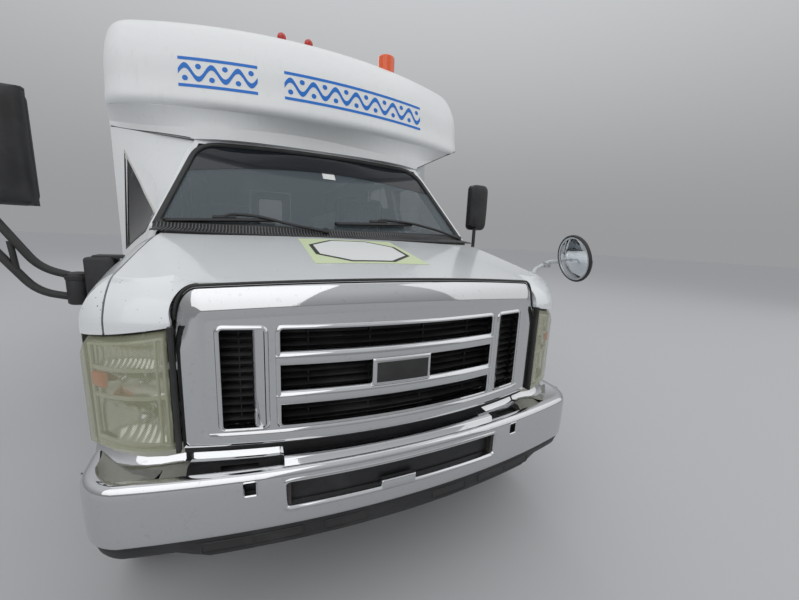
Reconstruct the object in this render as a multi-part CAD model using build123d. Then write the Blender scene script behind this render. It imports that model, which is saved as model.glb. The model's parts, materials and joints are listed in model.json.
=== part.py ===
from build123d import *
import os
from math import cos, sin, radians, sqrt

os.makedirs("parts", exist_ok=True)

# Ice cream truck: a bonneted van chassis with a wide moulded body.
# Millimetres. x points to the driver's side, y to the rear, z up.
# While it is drawn, y is a station: the distance behind the corners of the grille.
# save() moves every node so that the origin is on the ground, midway along the truck.

# Overall sizes
BUMPER_BOW = 158
REAR_WALL = 6850
WALL = 45
REAR_BUMPER_DEEP = 63
LENGTH = BUMPER_BOW + REAR_WALL + WALL + REAR_BUMPER_DEEP
BODY_HALF = 1219
ROOF_Z = 2755
SKIRT_Z = 400
GAP = 5
RUN_FIT = 0.3

# Axles and wheels
FRONT_AXLE = 640
WHEELBASE = 4013
REAR_AXLE = FRONT_AXLE + WHEELBASE
TYRE_R = 372
TYRE_W = 223
RIM_R = 205
RIM_W = 165
FRONT_WHEEL_X = 881
REAR_WHEEL_X = 945
TWIN_HALF = 137.5
LUG_PCD = 165.1
LUG_COUNT = 8
LUG_R = 11
HAND_HOLES = 4
KINGPIN_X = 790
KINGPIN_R = 16
KNUCKLE_HALF = 60
SPINDLE_R = 30
AXLE_END_R = 45

# Ladder frame and running gear
RAIL_HALF = 430
RAIL_FLANGE = 70
RAIL_H = 180
RAIL_T = 8
RAIL_Z = 520
RAIL_FRONT = 0
RAIL_REAR = REAR_WALL
FRAME_TOP = RAIL_Z + RAIL_H
CROSS_STATIONS = (60, 1800, 2900, 3900, 5350, 6600)
CROSS_LOW = RAIL_Z + 100
CROSS_HIGH = FRAME_TOP - 10
SPRING_X = 560
SPRING_HALF_L = 680
ENGINE = dict(front=250, rear=900, half=320, low=540, high=1090)

# Floors
CAB_FLOOR_Z = 740
BODY_FLOOR_Z = 840
FLOOR_T = 40
FIREWALL = 930
BULKHEAD = 2200

# Windscreen: plan arcs of its face at two heights, and its outline from the front
SCREEN_LOW_Z = 1395
SCREEN_HIGH_Z = 1915
SCREEN_LOW = (900, 952, 870)
SCREEN_HIGH = (900, 1458, 1392)
GLASS_T = 6
HEADER_X = 738
HEADER_Z = 1918
HEADER_MID_Z = 1940
SCREEN_FOOT_X = 900
SCREEN_FOOT_Z = 1392
SCREEN_RIM = 26
FRAME_DEEP = 60

# Front cap: the round edge of its brow, its leaning face, its crown and its corners in plan
BROW_LOW_Z = 2085
BROW_Z = 2130
BROW_FRONT = 1270
BROW_TUCK = 25
FACE_LEAN = 0.25
CROWN_Z = 2210
CROWN_END = 1967
CAP_REAR = 2360
CAP_BOW = 300
CAP_CORNER_R = 200
CAP_T = 40
ROOF_CORNER_R = 200
CAP_LEVELS = (BROW_LOW_Z, BROW_Z, CROWN_Z, 2330, 2450, 2560, 2655, 2725, ROOF_Z)
WALL_TOP = 2300
CURB_FRONT = 1714
CURB_SEAM_Z = 1985
DRIVER_SEAM_Z = 2150

# Nose
GRILLE_BOW = 90
GRILLE_SAG = 96
GRILLE_HALF = 660
GRILLE_LOW = 745
GRILLE_KINK = 1129
GRILLE_TOP_X = 599
GRILLE_TOP = 1225
GRILLE_MID_TOP = 1248
GRILLE_DEEP = 38
MOUTH_HALF = 390
MOUTH_LOW = 792
MOUTH_HIGH = 1110
SIDE_IN = 458
SIDE_OUT = 552
BARS = ((992, 1038), (865, 911))
SLAT_PITCH = 31
SLAT_T = 7
LAMP_IN = 676
LAMP_OUT = 912
LAMP_LOW = 742
LAMP_IN_TOP = 1109
LAMP_OUT_TOP = 1072
LAMP_DEEP = 90
BUMPER_LOW = 515
BUMPER_HIGH = 700
BUMPER_T = 8
BUMPER_SIDE = 958
BUMPER_REAR = 190
BUMPER_FRONT_X = 860
BUMPER_FRONT_Y = -52
VALANCE_LOW = 430

# Cab side and driver's door
DOOR_POST_X = 850
DOOR_FRONT = 1062
DOOR_REAR = 2150
DOOR_LOW = 525
DOOR_T = 48
DOOR_TOP = 1890
SIDE_PROFILE = ((990, 470), (1010, 820), (1006, 1240), (812, 1925))

# Serving side
STEP_IN = 780
ENTRY_FRONT = 1790
ENTRY_REAR = 2610
ENTRY_TOP = 2240
ENTRY_LOW = 420
SERVE_FRONT = 3000
SERVE_REAR = 4500
SERVE_LOW = 1250
SERVE_HIGH = 2100
FLAP_T = 30
SHELF_DEEP = 330
SHELF_T = 25
SHELF_Z = SERVE_LOW - 30

# Rear
REAR_DOOR_HALF = 400
REAR_DOOR_LOW = 850
REAR_DOOR_HIGH = 2230

# Two holes for a number plate in the rear bumper
PLATE_PITCH = 177.8
PLATE_HOLE_R = 3.5
PLATE_Z = 505

# Mirrors
MIRROR_REACH = 1340
MIRROR_HEAD = 200
CONVEX_R = 127


def block(x0, x1, y0, y1, z0, z1):
    """Box between two corners."""
    centre = Pos((x0 + x1) / 2, (y0 + y1) / 2, (z0 + z1) / 2)
    return centre * Box(abs(x1 - x0), abs(y1 - y0), abs(z1 - z0))


def both_sides(shape):
    """The shape and its mirror image across the truck's centre plane, as loose solids."""
    return [shape, mirror(shape, about=Plane.YZ)]


def prism(edges, along):
    """Closed outline carried along a vector."""
    return Solid.extrude(Face(Wire(edges)), Vector(*along))


def polygon(points):
    """Closed polygon as a list of edges."""
    ring = list(points) + [points[0]]
    return [Edge.make_line(a, b) for a, b in zip(ring, ring[1:])]


def front_prism(points, y0, y1):
    """Outline seen from the front, as (x, z) points, between two stations."""
    return prism(polygon([(x, y0, z) for x, z in points]), (0, y1 - y0, 0))


def side_prism(points, x0, x1):
    """Outline seen from the side, as (station, z) points, between two widths."""
    return prism(polygon([(x0, y, z) for y, z in points]), (x1 - x0, 0, 0))


def tube_x(radius, x0, x1, y, z):
    """Round bar across the truck."""
    return Pos((x0 + x1) / 2, y, z) * Rot(0, 90, 0) * Cylinder(radius, abs(x1 - x0))


def tube_y(radius, y0, y1, x, z):
    """Round bar along the truck."""
    return Pos(x, (y0 + y1) / 2, z) * Rot(90, 0, 0) * Cylinder(radius, abs(y1 - y0))


def tube_z(radius, z0, z1, x, y):
    """Upright round bar."""
    return Pos(x, y, (z0 + z1) / 2) * Cylinder(radius, abs(z1 - z0))


def rod(a, b, radius):
    """Round bar between two points."""
    start, end = Vector(*a), Vector(*b)
    return Solid.make_cylinder(radius, (end - start).length, Plane(origin=start, z_dir=end - start))


def save(name, *shapes):
    """Write one node."""
    solids = [s for shape in shapes for s in shape.solids()]
    placed = [Pos(0, BUMPER_BOW - LENGTH / 2, 0) * s for s in solids]
    node = placed[0] if len(placed) == 1 else Compound(children=placed)
    export_step(node, f"parts/{name}.step")


def turned(profile, axis_x, axis_y, axis_z):
    """Solid of revolution about an axle: profile points are (x along the axle, radius)."""
    edges = polygon([(x, 0, r) for x, r in profile])
    solid = Solid.revolve(Face(Wire(edges)), 360, Axis.X)
    return Pos(axis_x, axis_y, axis_z) * solid


# Running gear

def chassis_frame():
    rail = block(RAIL_HALF - RAIL_FLANGE, RAIL_HALF, RAIL_FRONT, RAIL_REAR, RAIL_Z, FRAME_TOP)
    rail -= block(0, RAIL_HALF - RAIL_T, RAIL_FRONT - 1, RAIL_REAR + 1, RAIL_Z + RAIL_T, FRAME_TOP - RAIL_T)
    frame = rail + mirror(rail, about=Plane.YZ)
    inside = RAIL_HALF - RAIL_T
    for station in CROSS_STATIONS:
        frame += block(-inside, inside, station - 35, station + 35, CROSS_LOW, CROSS_HIGH)
    bracket = block(RAIL_HALF - 60, RAIL_HALF, -BUMPER_BOW, RAIL_FRONT, RAIL_Z + 40, FRAME_TOP - 40)
    bracket -= bumper_solid() + Pos(0, -60, 0) * bumper_solid()
    frame += bracket.solids().sort_by(Axis.Y)[-1]
    frame += mirror(bracket.solids().sort_by(Axis.Y)[-1], about=Plane.YZ)
    return frame


def engine_block():
    e = ENGINE
    block_ = block(-e["half"], e["half"], e["front"], e["rear"], e["low"], e["high"])
    gearbox = block(-150, 150, e["rear"], 1560, 470, 640)
    mount = block(e["half"], RAIL_HALF - RAIL_FLANGE, 500, 620, RAIL_Z + 60, FRAME_TOP - 60)
    return block_ + gearbox + mount + mirror(mount, about=Plane.YZ)


def drive_shaft():
    return rod((0, 1575, 552), (0, REAR_AXLE - 192, TYRE_R + 20), 45)


def rear_axle():
    axle = tube_x(62, -700, 700, REAR_AXLE, TYRE_R)
    axle += tube_x(175, -95, 95, REAR_AXLE, TYRE_R)
    axle += tube_y(75, REAR_AXLE - 190, REAR_AXLE, 0, TYRE_R)
    axle += tube_x(AXLE_END_R, -(REAR_WHEEL_X - 20), REAR_WHEEL_X - 20, REAR_AXLE, TYRE_R)
    for side in (-1, 1):
        axle += block(side * SPRING_X - 45, side * SPRING_X + 45, REAR_AXLE - 60, REAR_AXLE + 60, TYRE_R + 40, TYRE_R + 72)
    return axle


def leaf_spring(x):
    """Bowed pack of leaves with its eyes and hangers under a rail."""
    low = TYRE_R + 72
    eye_z = low + 90
    y0, y1 = REAR_AXLE - SPRING_HALF_L, REAR_AXLE + SPRING_HALF_L
    leaves = prism(
        [
            Edge.make_three_point_arc((x - 38, y0, eye_z), (x - 38, REAR_AXLE, low), (x - 38, y1, eye_z)),
            Edge.make_line((x - 38, y1, eye_z), (x - 38, y1, eye_z + 34)),
            Edge.make_three_point_arc((x - 38, y1, eye_z + 34), (x - 38, REAR_AXLE, low + 50), (x - 38, y0, eye_z + 34)),
            Edge.make_line((x - 38, y0, eye_z + 34), (x - 38, y0, eye_z)),
        ],
        (76, 0, 0),
    )
    spring = leaves
    for y in (y0, y1):
        spring += tube_x(32, x - 38, x + 38, y, eye_z + 20)
        inner = RAIL_HALF if x > 0 else -RAIL_HALF
        spring += block(inner, x, y - 30, y + 30, eye_z + 5, eye_z + 60)
    return spring


def front_axle():
    """Two swing beams that cross under the engine, a yoke and kingpin at each end, and the coil springs."""
    pieces = None
    for side, y in ((1, FRONT_AXLE - 38), (-1, FRONT_AXLE + 38)):
        beam = block(-side * 210, side * (KINGPIN_X - 100), y - 25, y + 25, TYRE_R - 40, TYRE_R + 40)
        yoke = block(side * (KINGPIN_X - 130), side * (KINGPIN_X - 90), FRONT_AXLE - 63, FRONT_AXLE + 63, TYRE_R - 95, TYRE_R + 95)
        half = KNUCKLE_HALF + GAP
        for z0, z1 in ((half, half + 30), (-half - 30, -half)):
            yoke += block(side * (KINGPIN_X - 130), side * (KINGPIN_X + 32), FRONT_AXLE - 32, FRONT_AXLE + 32, TYRE_R + z0, TYRE_R + z1)
        yoke += tube_z(KINGPIN_R, TYRE_R - half - 30, TYRE_R + half + 30, side * KINGPIN_X, FRONT_AXLE)
        hanger = block(-side * 230, -side * 170, y - 25, y + 25, TYRE_R + 40, RAIL_Z + 45)
        coil_x = side * 600
        spring = tube_z(50, TYRE_R + 40, FRAME_TOP - 30, coil_x, FRONT_AXLE)
        tower = block(side * RAIL_HALF, side * 655, FRONT_AXLE - 70, FRONT_AXLE + 70, FRAME_TOP - 30, FRAME_TOP)
        arm = block(side * 500, side * 540, FRONT_AXLE - 40, 1500, TYRE_R - 40, TYRE_R)
        arm_hanger = block(side * RAIL_HALF, side * 540, 1440, 1500, TYRE_R - 40, RAIL_Z + 60)
        for extra in (beam, yoke, hanger, spring, tower, arm, arm_hanger):
            pieces = extra if pieces is None else pieces + extra
    pieces += block(-RAIL_HALF + RAIL_FLANGE, RAIL_HALF - RAIL_FLANGE, FRONT_AXLE - 70, FRONT_AXLE + 70, RAIL_Z - 20, RAIL_Z + 35 - 20)
    return pieces - engine_block()


def knuckle(side):
    x = side * KINGPIN_X
    body = tube_z(40, TYRE_R - KNUCKLE_HALF, TYRE_R + KNUCKLE_HALF, x, FRONT_AXLE)
    body += tube_x(SPINDLE_R, x, side * (FRONT_WHEEL_X + 20), FRONT_AXLE, TYRE_R)
    body += tube_x(62, side * (KINGPIN_X + 34), side * (KINGPIN_X + 46), FRONT_AXLE, TYRE_R)
    body += block(x - 20, x + 20, FRONT_AXLE, FRONT_AXLE + 170, TYRE_R - KNUCKLE_HALF, TYRE_R - KNUCKLE_HALF + 25)
    body -= tube_z(KINGPIN_R + RUN_FIT, 0, TYRE_R * 2, x, FRONT_AXLE)
    return body


def fuel_tank():
    tank = block(-345, 345, 5480, 6380, 470, 690)
    tank = fillet(tank.edges().filter_by(Axis.Y), 40)
    for y in (5650, 6150):
        tank += block(-360, 360, y, y + 50, 460, 470) + block(-345, 345, y, y + 50, 470, 520)
    return tank


def exhaust():
    x, z = -250, 470
    path = FilletPolyline((x, 1500, z), (x, 3600, z), (x - 300, 3800, z - 40), (-1120, 3800, z - 40), radius=110)
    pipe = sweep(Plane(origin=path @ 0, z_dir=path % 0) * Circle(32), path=path)
    silencer = tube_y(95, 2350, 3050, x, z - 20)
    hanger = block(x - 15, x + 15, 2895, 2905, z, CROSS_LOW)
    return pipe + silencer + hanger


# Wheels

def rim_profile(disc_x, side):
    """Rim and disc in section, as (x, radius) about the wheel's own middle, for one wheel."""
    half = RIM_W / 2
    lip = RIM_R + 16
    inner = RIM_R - 12
    d = disc_x
    return [
        (-half, lip), (-half, inner), (d - 8, inner), (d - 8, 110), (d - 8, 62),
        (d + 8, 62), (d + 8, 118), (d + 8, inner), (half, inner), (half, lip),
        (half - 9, lip), (half - 9, RIM_R), (-half + 9, RIM_R), (-half + 9, lip),
    ]


def wheel_holes(radius, ring_r, count, x0, x1, y, turn=0.0):
    holes = []
    for i in range(count):
        a = radians(turn + 360 * i / count)
        holes.append(tube_x(radius, x0, x1, y + ring_r * cos(a), TYRE_R + ring_r * sin(a)))
    return holes


def front_rim(side):
    x = side * FRONT_WHEEL_X
    disc = side * 45
    rim = turned(rim_profile(disc, side), x, FRONT_AXLE, TYRE_R)
    cut = [x + disc - 20, x + disc + 20]
    for hole in wheel_holes(24, 150, HAND_HOLES * 2, *cut, FRONT_AXLE, 22.5):
        rim -= hole
    hub = tube_x(66, x - side * 20, x + disc + side * 45, FRONT_AXLE, TYRE_R)
    hub -= tube_x(SPINDLE_R + RUN_FIT, x - side * 60, x + side * (20 + RUN_FIT), FRONT_AXLE, TYRE_R)
    rim += hub
    for lug in wheel_holes(LUG_R, LUG_PCD / 2, LUG_COUNT, x + disc, x + disc + side * 34, FRONT_AXLE):
        rim += lug
    return rim


def rear_rims(side):
    rim = None
    for place, disc in ((-TWIN_HALF, TWIN_HALF - 8), (TWIN_HALF, -TWIN_HALF + 8)):
        x = side * (REAR_WHEEL_X + place)
        one = turned(rim_profile(side * min(max(disc, -74), 74), side), x, REAR_AXLE, TYRE_R)
        for hole in wheel_holes(24, 150, HAND_HOLES * 2, x - 100, x + 100, REAR_AXLE, 22.5):
            one -= hole
        rim = one if rim is None else rim + one
    x = side * REAR_WHEEL_X
    hub = tube_x(75, x - side * 80, x + side * 175, REAR_AXLE, TYRE_R)
    hub += tube_x(118, x - side * 72, x + side * 72, REAR_AXLE, TYRE_R)
    hub -= tube_x(AXLE_END_R + RUN_FIT, x - side * 90, x - side * (20 - RUN_FIT), REAR_AXLE, TYRE_R)
    rim += hub
    for lug in wheel_holes(LUG_R, LUG_PCD / 2 + 12, LUG_COUNT, x, x + side * 92, REAR_AXLE):
        rim += lug
    return rim


def tyre(x, y):
    """Hollow tyre seated on its rim."""
    half = TYRE_W / 2
    foot = RIM_W / 2 - 9
    r = TYRE_R
    section = [
        (-foot, RIM_R), (-foot, RIM_R + 18), (-half + 6, RIM_R + 50), (-half, RIM_R + 88), (-half + 10, r - 28), (-half + 34, r - 3), (-20, r),
        (20, r), (half - 34, r - 3), (half - 10, r - 28), (half, RIM_R + 88), (half - 6, RIM_R + 50), (foot, RIM_R + 18), (foot, RIM_R),
        (foot - 22, RIM_R), (half - 30, RIM_R + 60), (half - 30, r - 45), (half - 50, r - 24),
        (-half + 50, r - 24), (-half + 30, r - 45), (-half + 30, RIM_R + 60), (-foot + 22, RIM_R),
    ]
    return turned(section, x, y, TYRE_R)


# Nose

def bowed_slab(front, sag, half, deep, z0, z1, reach):
    """Upright slab bowed forward in plan: its face is at front on the centre line, and sag further back at half."""
    end = front + sag * (reach / half) ** 2
    edges = [
        Edge.make_three_point_arc((-reach, end, z0), (0, front, z0), (reach, end, z0)),
        Edge.make_line((reach, end, z0), (reach, end + deep, z0)),
        Edge.make_three_point_arc((reach, end + deep, z0), (0, front + deep, z0), (-reach, end + deep, z0)),
        Edge.make_line((-reach, end + deep, z0), (-reach, end, z0)),
    ]
    return prism(edges, (0, 0, z1 - z0))


def grille_slab(inset, deep):
    """Part of the grille's bowed depth, from inset behind its face."""
    return bowed_slab(-GRILLE_BOW + inset, GRILLE_SAG, GRILLE_HALF, deep, GRILLE_LOW - 50, GRILLE_MID_TOP + 50, GRILLE_HALF + 10)


def grille_outline(grow, y0, y1):
    """Front view of the chrome surround, with round upper corners, grown by a margin."""
    half, kink, top_x = GRILLE_HALF + grow, GRILLE_KINK, GRILLE_TOP_X
    low, top, mid = GRILLE_LOW - grow, GRILLE_TOP + grow, GRILLE_MID_TOP + grow
    corner = (GRILLE_TOP_X + (half - GRILLE_TOP_X) * 0.72, y0, kink + (top - kink) * 0.78)
    edges = [
        Edge.make_line((-half, y0, low), (half, y0, low)),
        Edge.make_line((half, y0, low), (half, y0, kink)),
        Edge.make_three_point_arc((half, y0, kink), corner, (top_x, y0, top)),
        Edge.make_three_point_arc((top_x, y0, top), (0, y0, mid), (-top_x, y0, top)),
        Edge.make_three_point_arc((-top_x, y0, top), (-corner[0], y0, corner[2]), (-half, y0, kink)),
        Edge.make_line((-half, y0, kink), (-half, y0, low)),
    ]
    return prism(edges, (0, y1 - y0, 0))


def grille_surround():
    plate = grille_outline(0, -200, 200)
    # Chrome band, with a step in towards the openings
    face = plate & grille_slab(0, GRILLE_DEEP)
    step = block(-SIDE_OUT - 40, SIDE_OUT + 40, -300, 200, GRILLE_LOW + 14, MOUTH_HIGH + 38)
    face -= step & grille_slab(-5, 17)
    face -= block(-MOUTH_HALF, MOUTH_HALF, -300, 200, MOUTH_LOW, MOUTH_HIGH)
    for side in (-1, 1):
        face -= block(side * SIDE_IN, side * SIDE_OUT, -300, 200, MOUTH_LOW + 12, MOUTH_HIGH - 2)
    for low, high in BARS:
        face += block(-MOUTH_HALF - 20, MOUTH_HALF + 20, -300, 200, low, high) & grille_slab(2, 30)
    # Plain boss between the two bars, where a badge would sit
    face += block(-105, 105, -300, 200, BARS[1][1] - 2, BARS[0][0] + 2) & grille_slab(-4, 34)
    return face


def grille_louvres():
    depth = grille_slab(GRILLE_DEEP, 22)
    louvres = None
    count = int((MOUTH_HIGH - MOUTH_LOW) / SLAT_PITCH)
    for i in range(count + 1):
        z = MOUTH_LOW + 4 + i * SLAT_PITCH
        slat = block(-SIDE_OUT, SIDE_OUT, -300, 200, z, z + SLAT_T)
        louvres = slat if louvres is None else louvres + slat
    for x in (-SIDE_OUT + 6, -SIDE_IN - 30, -MOUTH_HALF - 20, 0, MOUTH_HALF + 20, SIDE_IN + 30, SIDE_OUT - 6):
        louvres += block(x - 5, x + 5, -300, 200, MOUTH_LOW + 4, MOUTH_LOW + 4 + count * SLAT_PITCH + SLAT_T)
    return louvres & depth


def headlamp():
    """Tall lamp that turns round the corner of the nose, with a sloped top and three tiers."""
    face = [(LAMP_IN, 6), (825, 62), (LAMP_OUT, 150)]
    deep = LAMP_DEEP
    edges = [
        Edge.make_three_point_arc(*[(x, y, LAMP_LOW) for x, y in face]),
        Edge.make_line((LAMP_OUT, 150, LAMP_LOW), (LAMP_OUT - 60, 150 + deep, LAMP_LOW)),
        Edge.make_line((LAMP_OUT - 60, 150 + deep, LAMP_LOW), (LAMP_IN, 6 + deep, LAMP_LOW)),
        Edge.make_line((LAMP_IN, 6 + deep, LAMP_LOW), (LAMP_IN, 6, LAMP_LOW)),
    ]
    lamp = prism(edges, (0, 0, LAMP_IN_TOP - LAMP_LOW))
    lamp -= front_prism([(LAMP_IN - 5, LAMP_IN_TOP + 1), (LAMP_OUT + 5, LAMP_OUT_TOP), (LAMP_OUT + 5, LAMP_IN_TOP + 9)], -50, 400)
    return lamp


def bumper_outline(inset, reach_back):
    """Plan of the bumper, moved in by inset all round except at the back."""
    fx, fy = BUMPER_FRONT_X, BUMPER_FRONT_Y
    sx = BUMPER_SIDE - inset
    rear = BUMPER_REAR + reach_back
    edges = [
        Edge.make_three_point_arc((-fx, fy + inset, 0), (0, -BUMPER_BOW + inset, 0), (fx, fy + inset, 0)),
        Edge.make_three_point_arc((fx, fy + inset, 0), (sx - 22, fy + inset + 42, 0), (sx, fy + inset + 130, 0)),
        Edge.make_line((sx, fy + inset + 130, 0), (sx, rear, 0)),
        Edge.make_line((sx, rear, 0), (-sx, rear, 0)),
        Edge.make_line((-sx, rear, 0), (-sx, fy + inset + 130, 0)),
        Edge.make_three_point_arc((-sx, fy + inset + 130, 0), (-sx + 22, fy + inset + 42, 0), (-fx, fy + inset, 0)),
    ]
    return Face(Wire(edges))


def bumper_solid():
    """Bumper as a shell: a bowed face, a top shelf and sides that wrap back."""
    outer = Solid.extrude(Pos(0, 0, BUMPER_LOW) * bumper_outline(0, 0), Vector(0, 0, BUMPER_HIGH - BUMPER_LOW))
    inner = Solid.extrude(Pos(0, 0, BUMPER_LOW - 1) * bumper_outline(BUMPER_T, 60), Vector(0, 0, BUMPER_HIGH - BUMPER_LOW + 1 - BUMPER_T))
    shelf_cut = block(-BUMPER_SIDE + 90, BUMPER_SIDE - 90, 0, 400, BUMPER_HIGH - 60, BUMPER_HIGH + 20)
    return outer - inner - shelf_cut


def front_bumper():
    bumper = bumper_solid()
    mouth = block(-388, 388, -300, -60, 572, 665)
    bumper -= fillet(mouth.edges().filter_by(Axis.Y), 14)
    for side in (-1, 1):
        bumper -= block(side * 463, side * 500, -300, -60, 635, 680)
        bumper -= block(side * 520, side * 600, -95, -60, BUMPER_HIGH - 40, BUMPER_HIGH + 20)
    return bumper


def bumper_valance():
    top = BUMPER_LOW
    outer = Solid.extrude(Pos(0, 0, VALANCE_LOW) * bumper_outline(14, 0), Vector(0, 0, top - VALANCE_LOW))
    inner = Solid.extrude(Pos(0, 0, VALANCE_LOW - 1) * bumper_outline(34, 60), Vector(0, 0, top - VALANCE_LOW + 2))
    valance = outer - inner
    for side in (-1, 1):
        for x in (120, 330, 540):
            valance -= block(side * x, side * (x + 150), -300, -20, VALANCE_LOW + 25, VALANCE_LOW + 60)
    return valance


# Round nose over the lamps: how far its face lies behind the lamps' face at each height
NOSE_ROLL = ((1118, 0), (1144, 8), (1168, 22), (1190, 41), (1208, 62), (1224, 85), (1237, 112), (1248, 140))
NOSE_TOP = 1500
NOSE_FOOT = 900
LAMP_FACE = ((671, 4), (825, 62), (914, 152))


def nose_plan(back, height):
    """Plan of the nose: the grille's bow in the middle, the lamps' arc at the sides, moved back."""
    lip = -GRILLE_BOW + GRILLE_DEEP + HOOD_GAP
    lip_x = GRILLE_TOP_X
    lip_end = lip + GRILLE_SAG * (lip_x / GRILLE_HALF) ** 2
    out, rear = BODY_HALF, BULKHEAD
    right = [(x, y + back) for x, y in LAMP_FACE]
    wing = (out, right[2][1] + 200)

    def flip(point):
        return (-point[0], point[1], height)

    a, b, c = [(x, y, height) for x, y in right]
    end, side = (lip_x, lip_end, height), (*wing, height)
    return Wire([
        Edge.make_three_point_arc(flip(end), (0, lip, height), end),
        Edge.make_line(end, a),
        Edge.make_three_point_arc(a, b, c),
        Edge.make_line(c, side),
        Edge.make_line(side, (out, rear, height)),
        Edge.make_line((out, rear, height), (-out, rear, height)),
        Edge.make_line((-out, rear, height), flip(side)),
        Edge.make_line(flip(side), flip(c)),
        Edge.make_three_point_arc(flip(c), flip(b), flip(a)),
        Edge.make_line(flip(a), flip(end)),
    ])


def nose_form(inset):
    """Everything behind the face of the nose, moved in by inset."""
    faces = [Face(nose_plan(back + inset, z - inset * i / 7)) for i, (z, back) in enumerate(NOSE_ROLL)]
    form = loft(faces)
    low, top = NOSE_ROLL[0][0], NOSE_ROLL[-1][0] - inset
    form += Solid.extrude(Face(nose_plan(NOSE_ROLL[0][1] + inset, NOSE_FOOT)), Vector(0, 0, low - NOSE_FOOT))
    form += Solid.extrude(Face(nose_plan(NOSE_ROLL[-1][1] + inset, top)), Vector(0, 0, NOSE_TOP - top))
    return form


def over_lamps(gap):
    """Front view of what is above the lamps, as a cutter for what is below their tops."""
    slope = (LAMP_OUT_TOP - LAMP_IN_TOP) / (LAMP_OUT - LAMP_IN)
    x0, x1 = 500, LAMP_OUT + gap + 2
    z0, z1 = [LAMP_IN_TOP + slope * (x - LAMP_IN) + gap for x in (x0, x1)]
    return front_prism([(x0, 300), (x1, 300), (x1, z1), (x0, z0)], -300, 150 + LAMP_DEEP)


# Hood: station, centre height, shoulder half width and height, edge half width and height
HOOD_SECTIONS = (
    (-100, 1234, 600, 1214, 832, 1192),
    (150, 1274, 612, 1253, 832, 1232),
    (450, 1326, 630, 1306, 832, 1296),
    (860, 1390, 650, 1378, 820, 1372),
)
HOOD_T = 22
HOOD_GAP = 10
HOOD_BASE = 1000
HOOD_LIP = 22
HOOD_RIM = 34
HOOD_REAR_MID = 728
HOOD_REAR_SIDE = 797
COWL_GAP = 12
COWL_SLOTS = 12
COWL_PITCH = 62


def hood_section(station, mid_z, shoulder_x, shoulder_z, edge_x, edge_z, inset):
    """Section of the hood down to its base, moved in by inset."""
    y, i = station, inset
    out, low = edge_x - i, HOOD_BASE - i
    return Face(Wire([
        Edge.make_three_point_arc((-shoulder_x, y, shoulder_z - i), (0, y, mid_z - i), (shoulder_x, y, shoulder_z - i)),
        Edge.make_line((shoulder_x, y, shoulder_z - i), (out, y, edge_z - i)),
        Edge.make_line((out, y, edge_z - i), (out, y, low)),
        Edge.make_line((out, y, low), (-out, y, low)),
        Edge.make_line((-out, y, low), (-out, y, edge_z - i)),
        Edge.make_line((-out, y, edge_z - i), (-shoulder_x, y, shoulder_z - i)),
    ]))


def hood():
    """Shell with a round nose over the lamps, cut to the grille, the lamps and the cowl."""
    rear = prism([
        Edge.make_line((-940, -300, NOSE_FOOT), (940, -300, NOSE_FOOT)),
        Edge.make_line((940, -300, NOSE_FOOT), (940, HOOD_REAR_SIDE, NOSE_FOOT)),
        Edge.make_three_point_arc((940, HOOD_REAR_SIDE, NOSE_FOOT), (0, HOOD_REAR_MID, NOSE_FOOT), (-940, HOOD_REAR_SIDE, NOSE_FOOT)),
        Edge.make_line((-940, HOOD_REAR_SIDE, NOSE_FOOT), (-940, -300, NOSE_FOOT)),
    ], (0, 0, NOSE_TOP - NOSE_FOOT))
    outer = loft([hood_section(*row, 0) for row in HOOD_SECTIONS]) & nose_form(0)
    inner = loft([hood_section(*row, HOOD_T) for row in HOOD_SECTIONS]) & nose_form(HOOD_T)
    # The rim hangs HOOD_RIM below the skin along the sides
    side_low = [(y, edge_z - HOOD_RIM) for y, _, _, _, _, edge_z in HOOD_SECTIONS]
    below = side_prism([(-200, HOOD_BASE - 50), (900, HOOD_BASE - 50), (900, side_low[3][1]), side_low[2], side_low[1],
                        (LAMP_FACE[2][1], side_low[1][1] - 20), (100, NOSE_ROLL[0][0]), (60, HOOD_BASE + 40), (-200, HOOD_BASE + 40)], -940, 940)
    shell = (outer & rear) - inner - below
    for side in (over_lamps(GAP), mirror(over_lamps(GAP), about=Plane.YZ)):
        shell -= side
    # Behind the chrome the front edge is a lip; beyond its corners the nose comes down beside it
    shell -= grille_outline(-HOOD_LIP, -300, 140)
    corners = grille_outline(HOOD_GAP - 2, -300, 140) - block(-GRILLE_TOP_X, GRILLE_TOP_X, -310, 150, NOSE_FOOT - 300, NOSE_TOP)
    return shell - corners


# Fender, driver's side: station, inner x and z, shoulder x and z, outer x and z
FENDER_SECTIONS = (
    (40, 838, 1206, 878, 1172, 908, 1092),
    (158, 838, 1230, 884, 1188, 915, 1098),
    (200, 838, 1243, 893, 1195, 927, 1095),
    (420, 838, 1288, 928, 1212, 978, 1040),
    (700, 838, 1346, 944, 1250, 1006, 1010),
    (1050, 812, 1392, 950, 1262, 1010, 1000),
)
FENDER_T = 16
FENDER_LOW = 470
FENDER_IN = 600
ARCH_R = 440


def fender_core(inset=0):
    """Everything inside the fender's outer face, moved in by inset, from the lamps back to the door."""
    faces = []
    inner, low = FENDER_IN - inset, FENDER_LOW - inset
    for y, in_x, in_z, sh_x, sh_z, out_x, out_z in FENDER_SECTIONS:
        out = out_x - inset
        faces.append(Face(Wire([
            Edge.make_three_point_arc((in_x, y, in_z - inset), (sh_x - inset * 0.7, y, sh_z - inset * 0.7), (out, y, out_z)),
            Edge.make_line((out, y, out_z), (out - 8, y, low)),
            Edge.make_line((out - 8, y, low), (inner, y, low)),
            Edge.make_line((inner, y, low), (inner, y, in_z - inset)),
            Edge.make_line((inner, y, in_z - inset), (in_x, y, in_z - inset)),
        ])))
    low_nose = Solid.extrude(Face(nose_plan(inset, FENDER_LOW - 30)), Vector(0, 0, NOSE_FOOT - FENDER_LOW + 30))
    return loft(faces, ruled=True) & (nose_form(inset) + low_nose)


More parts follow.
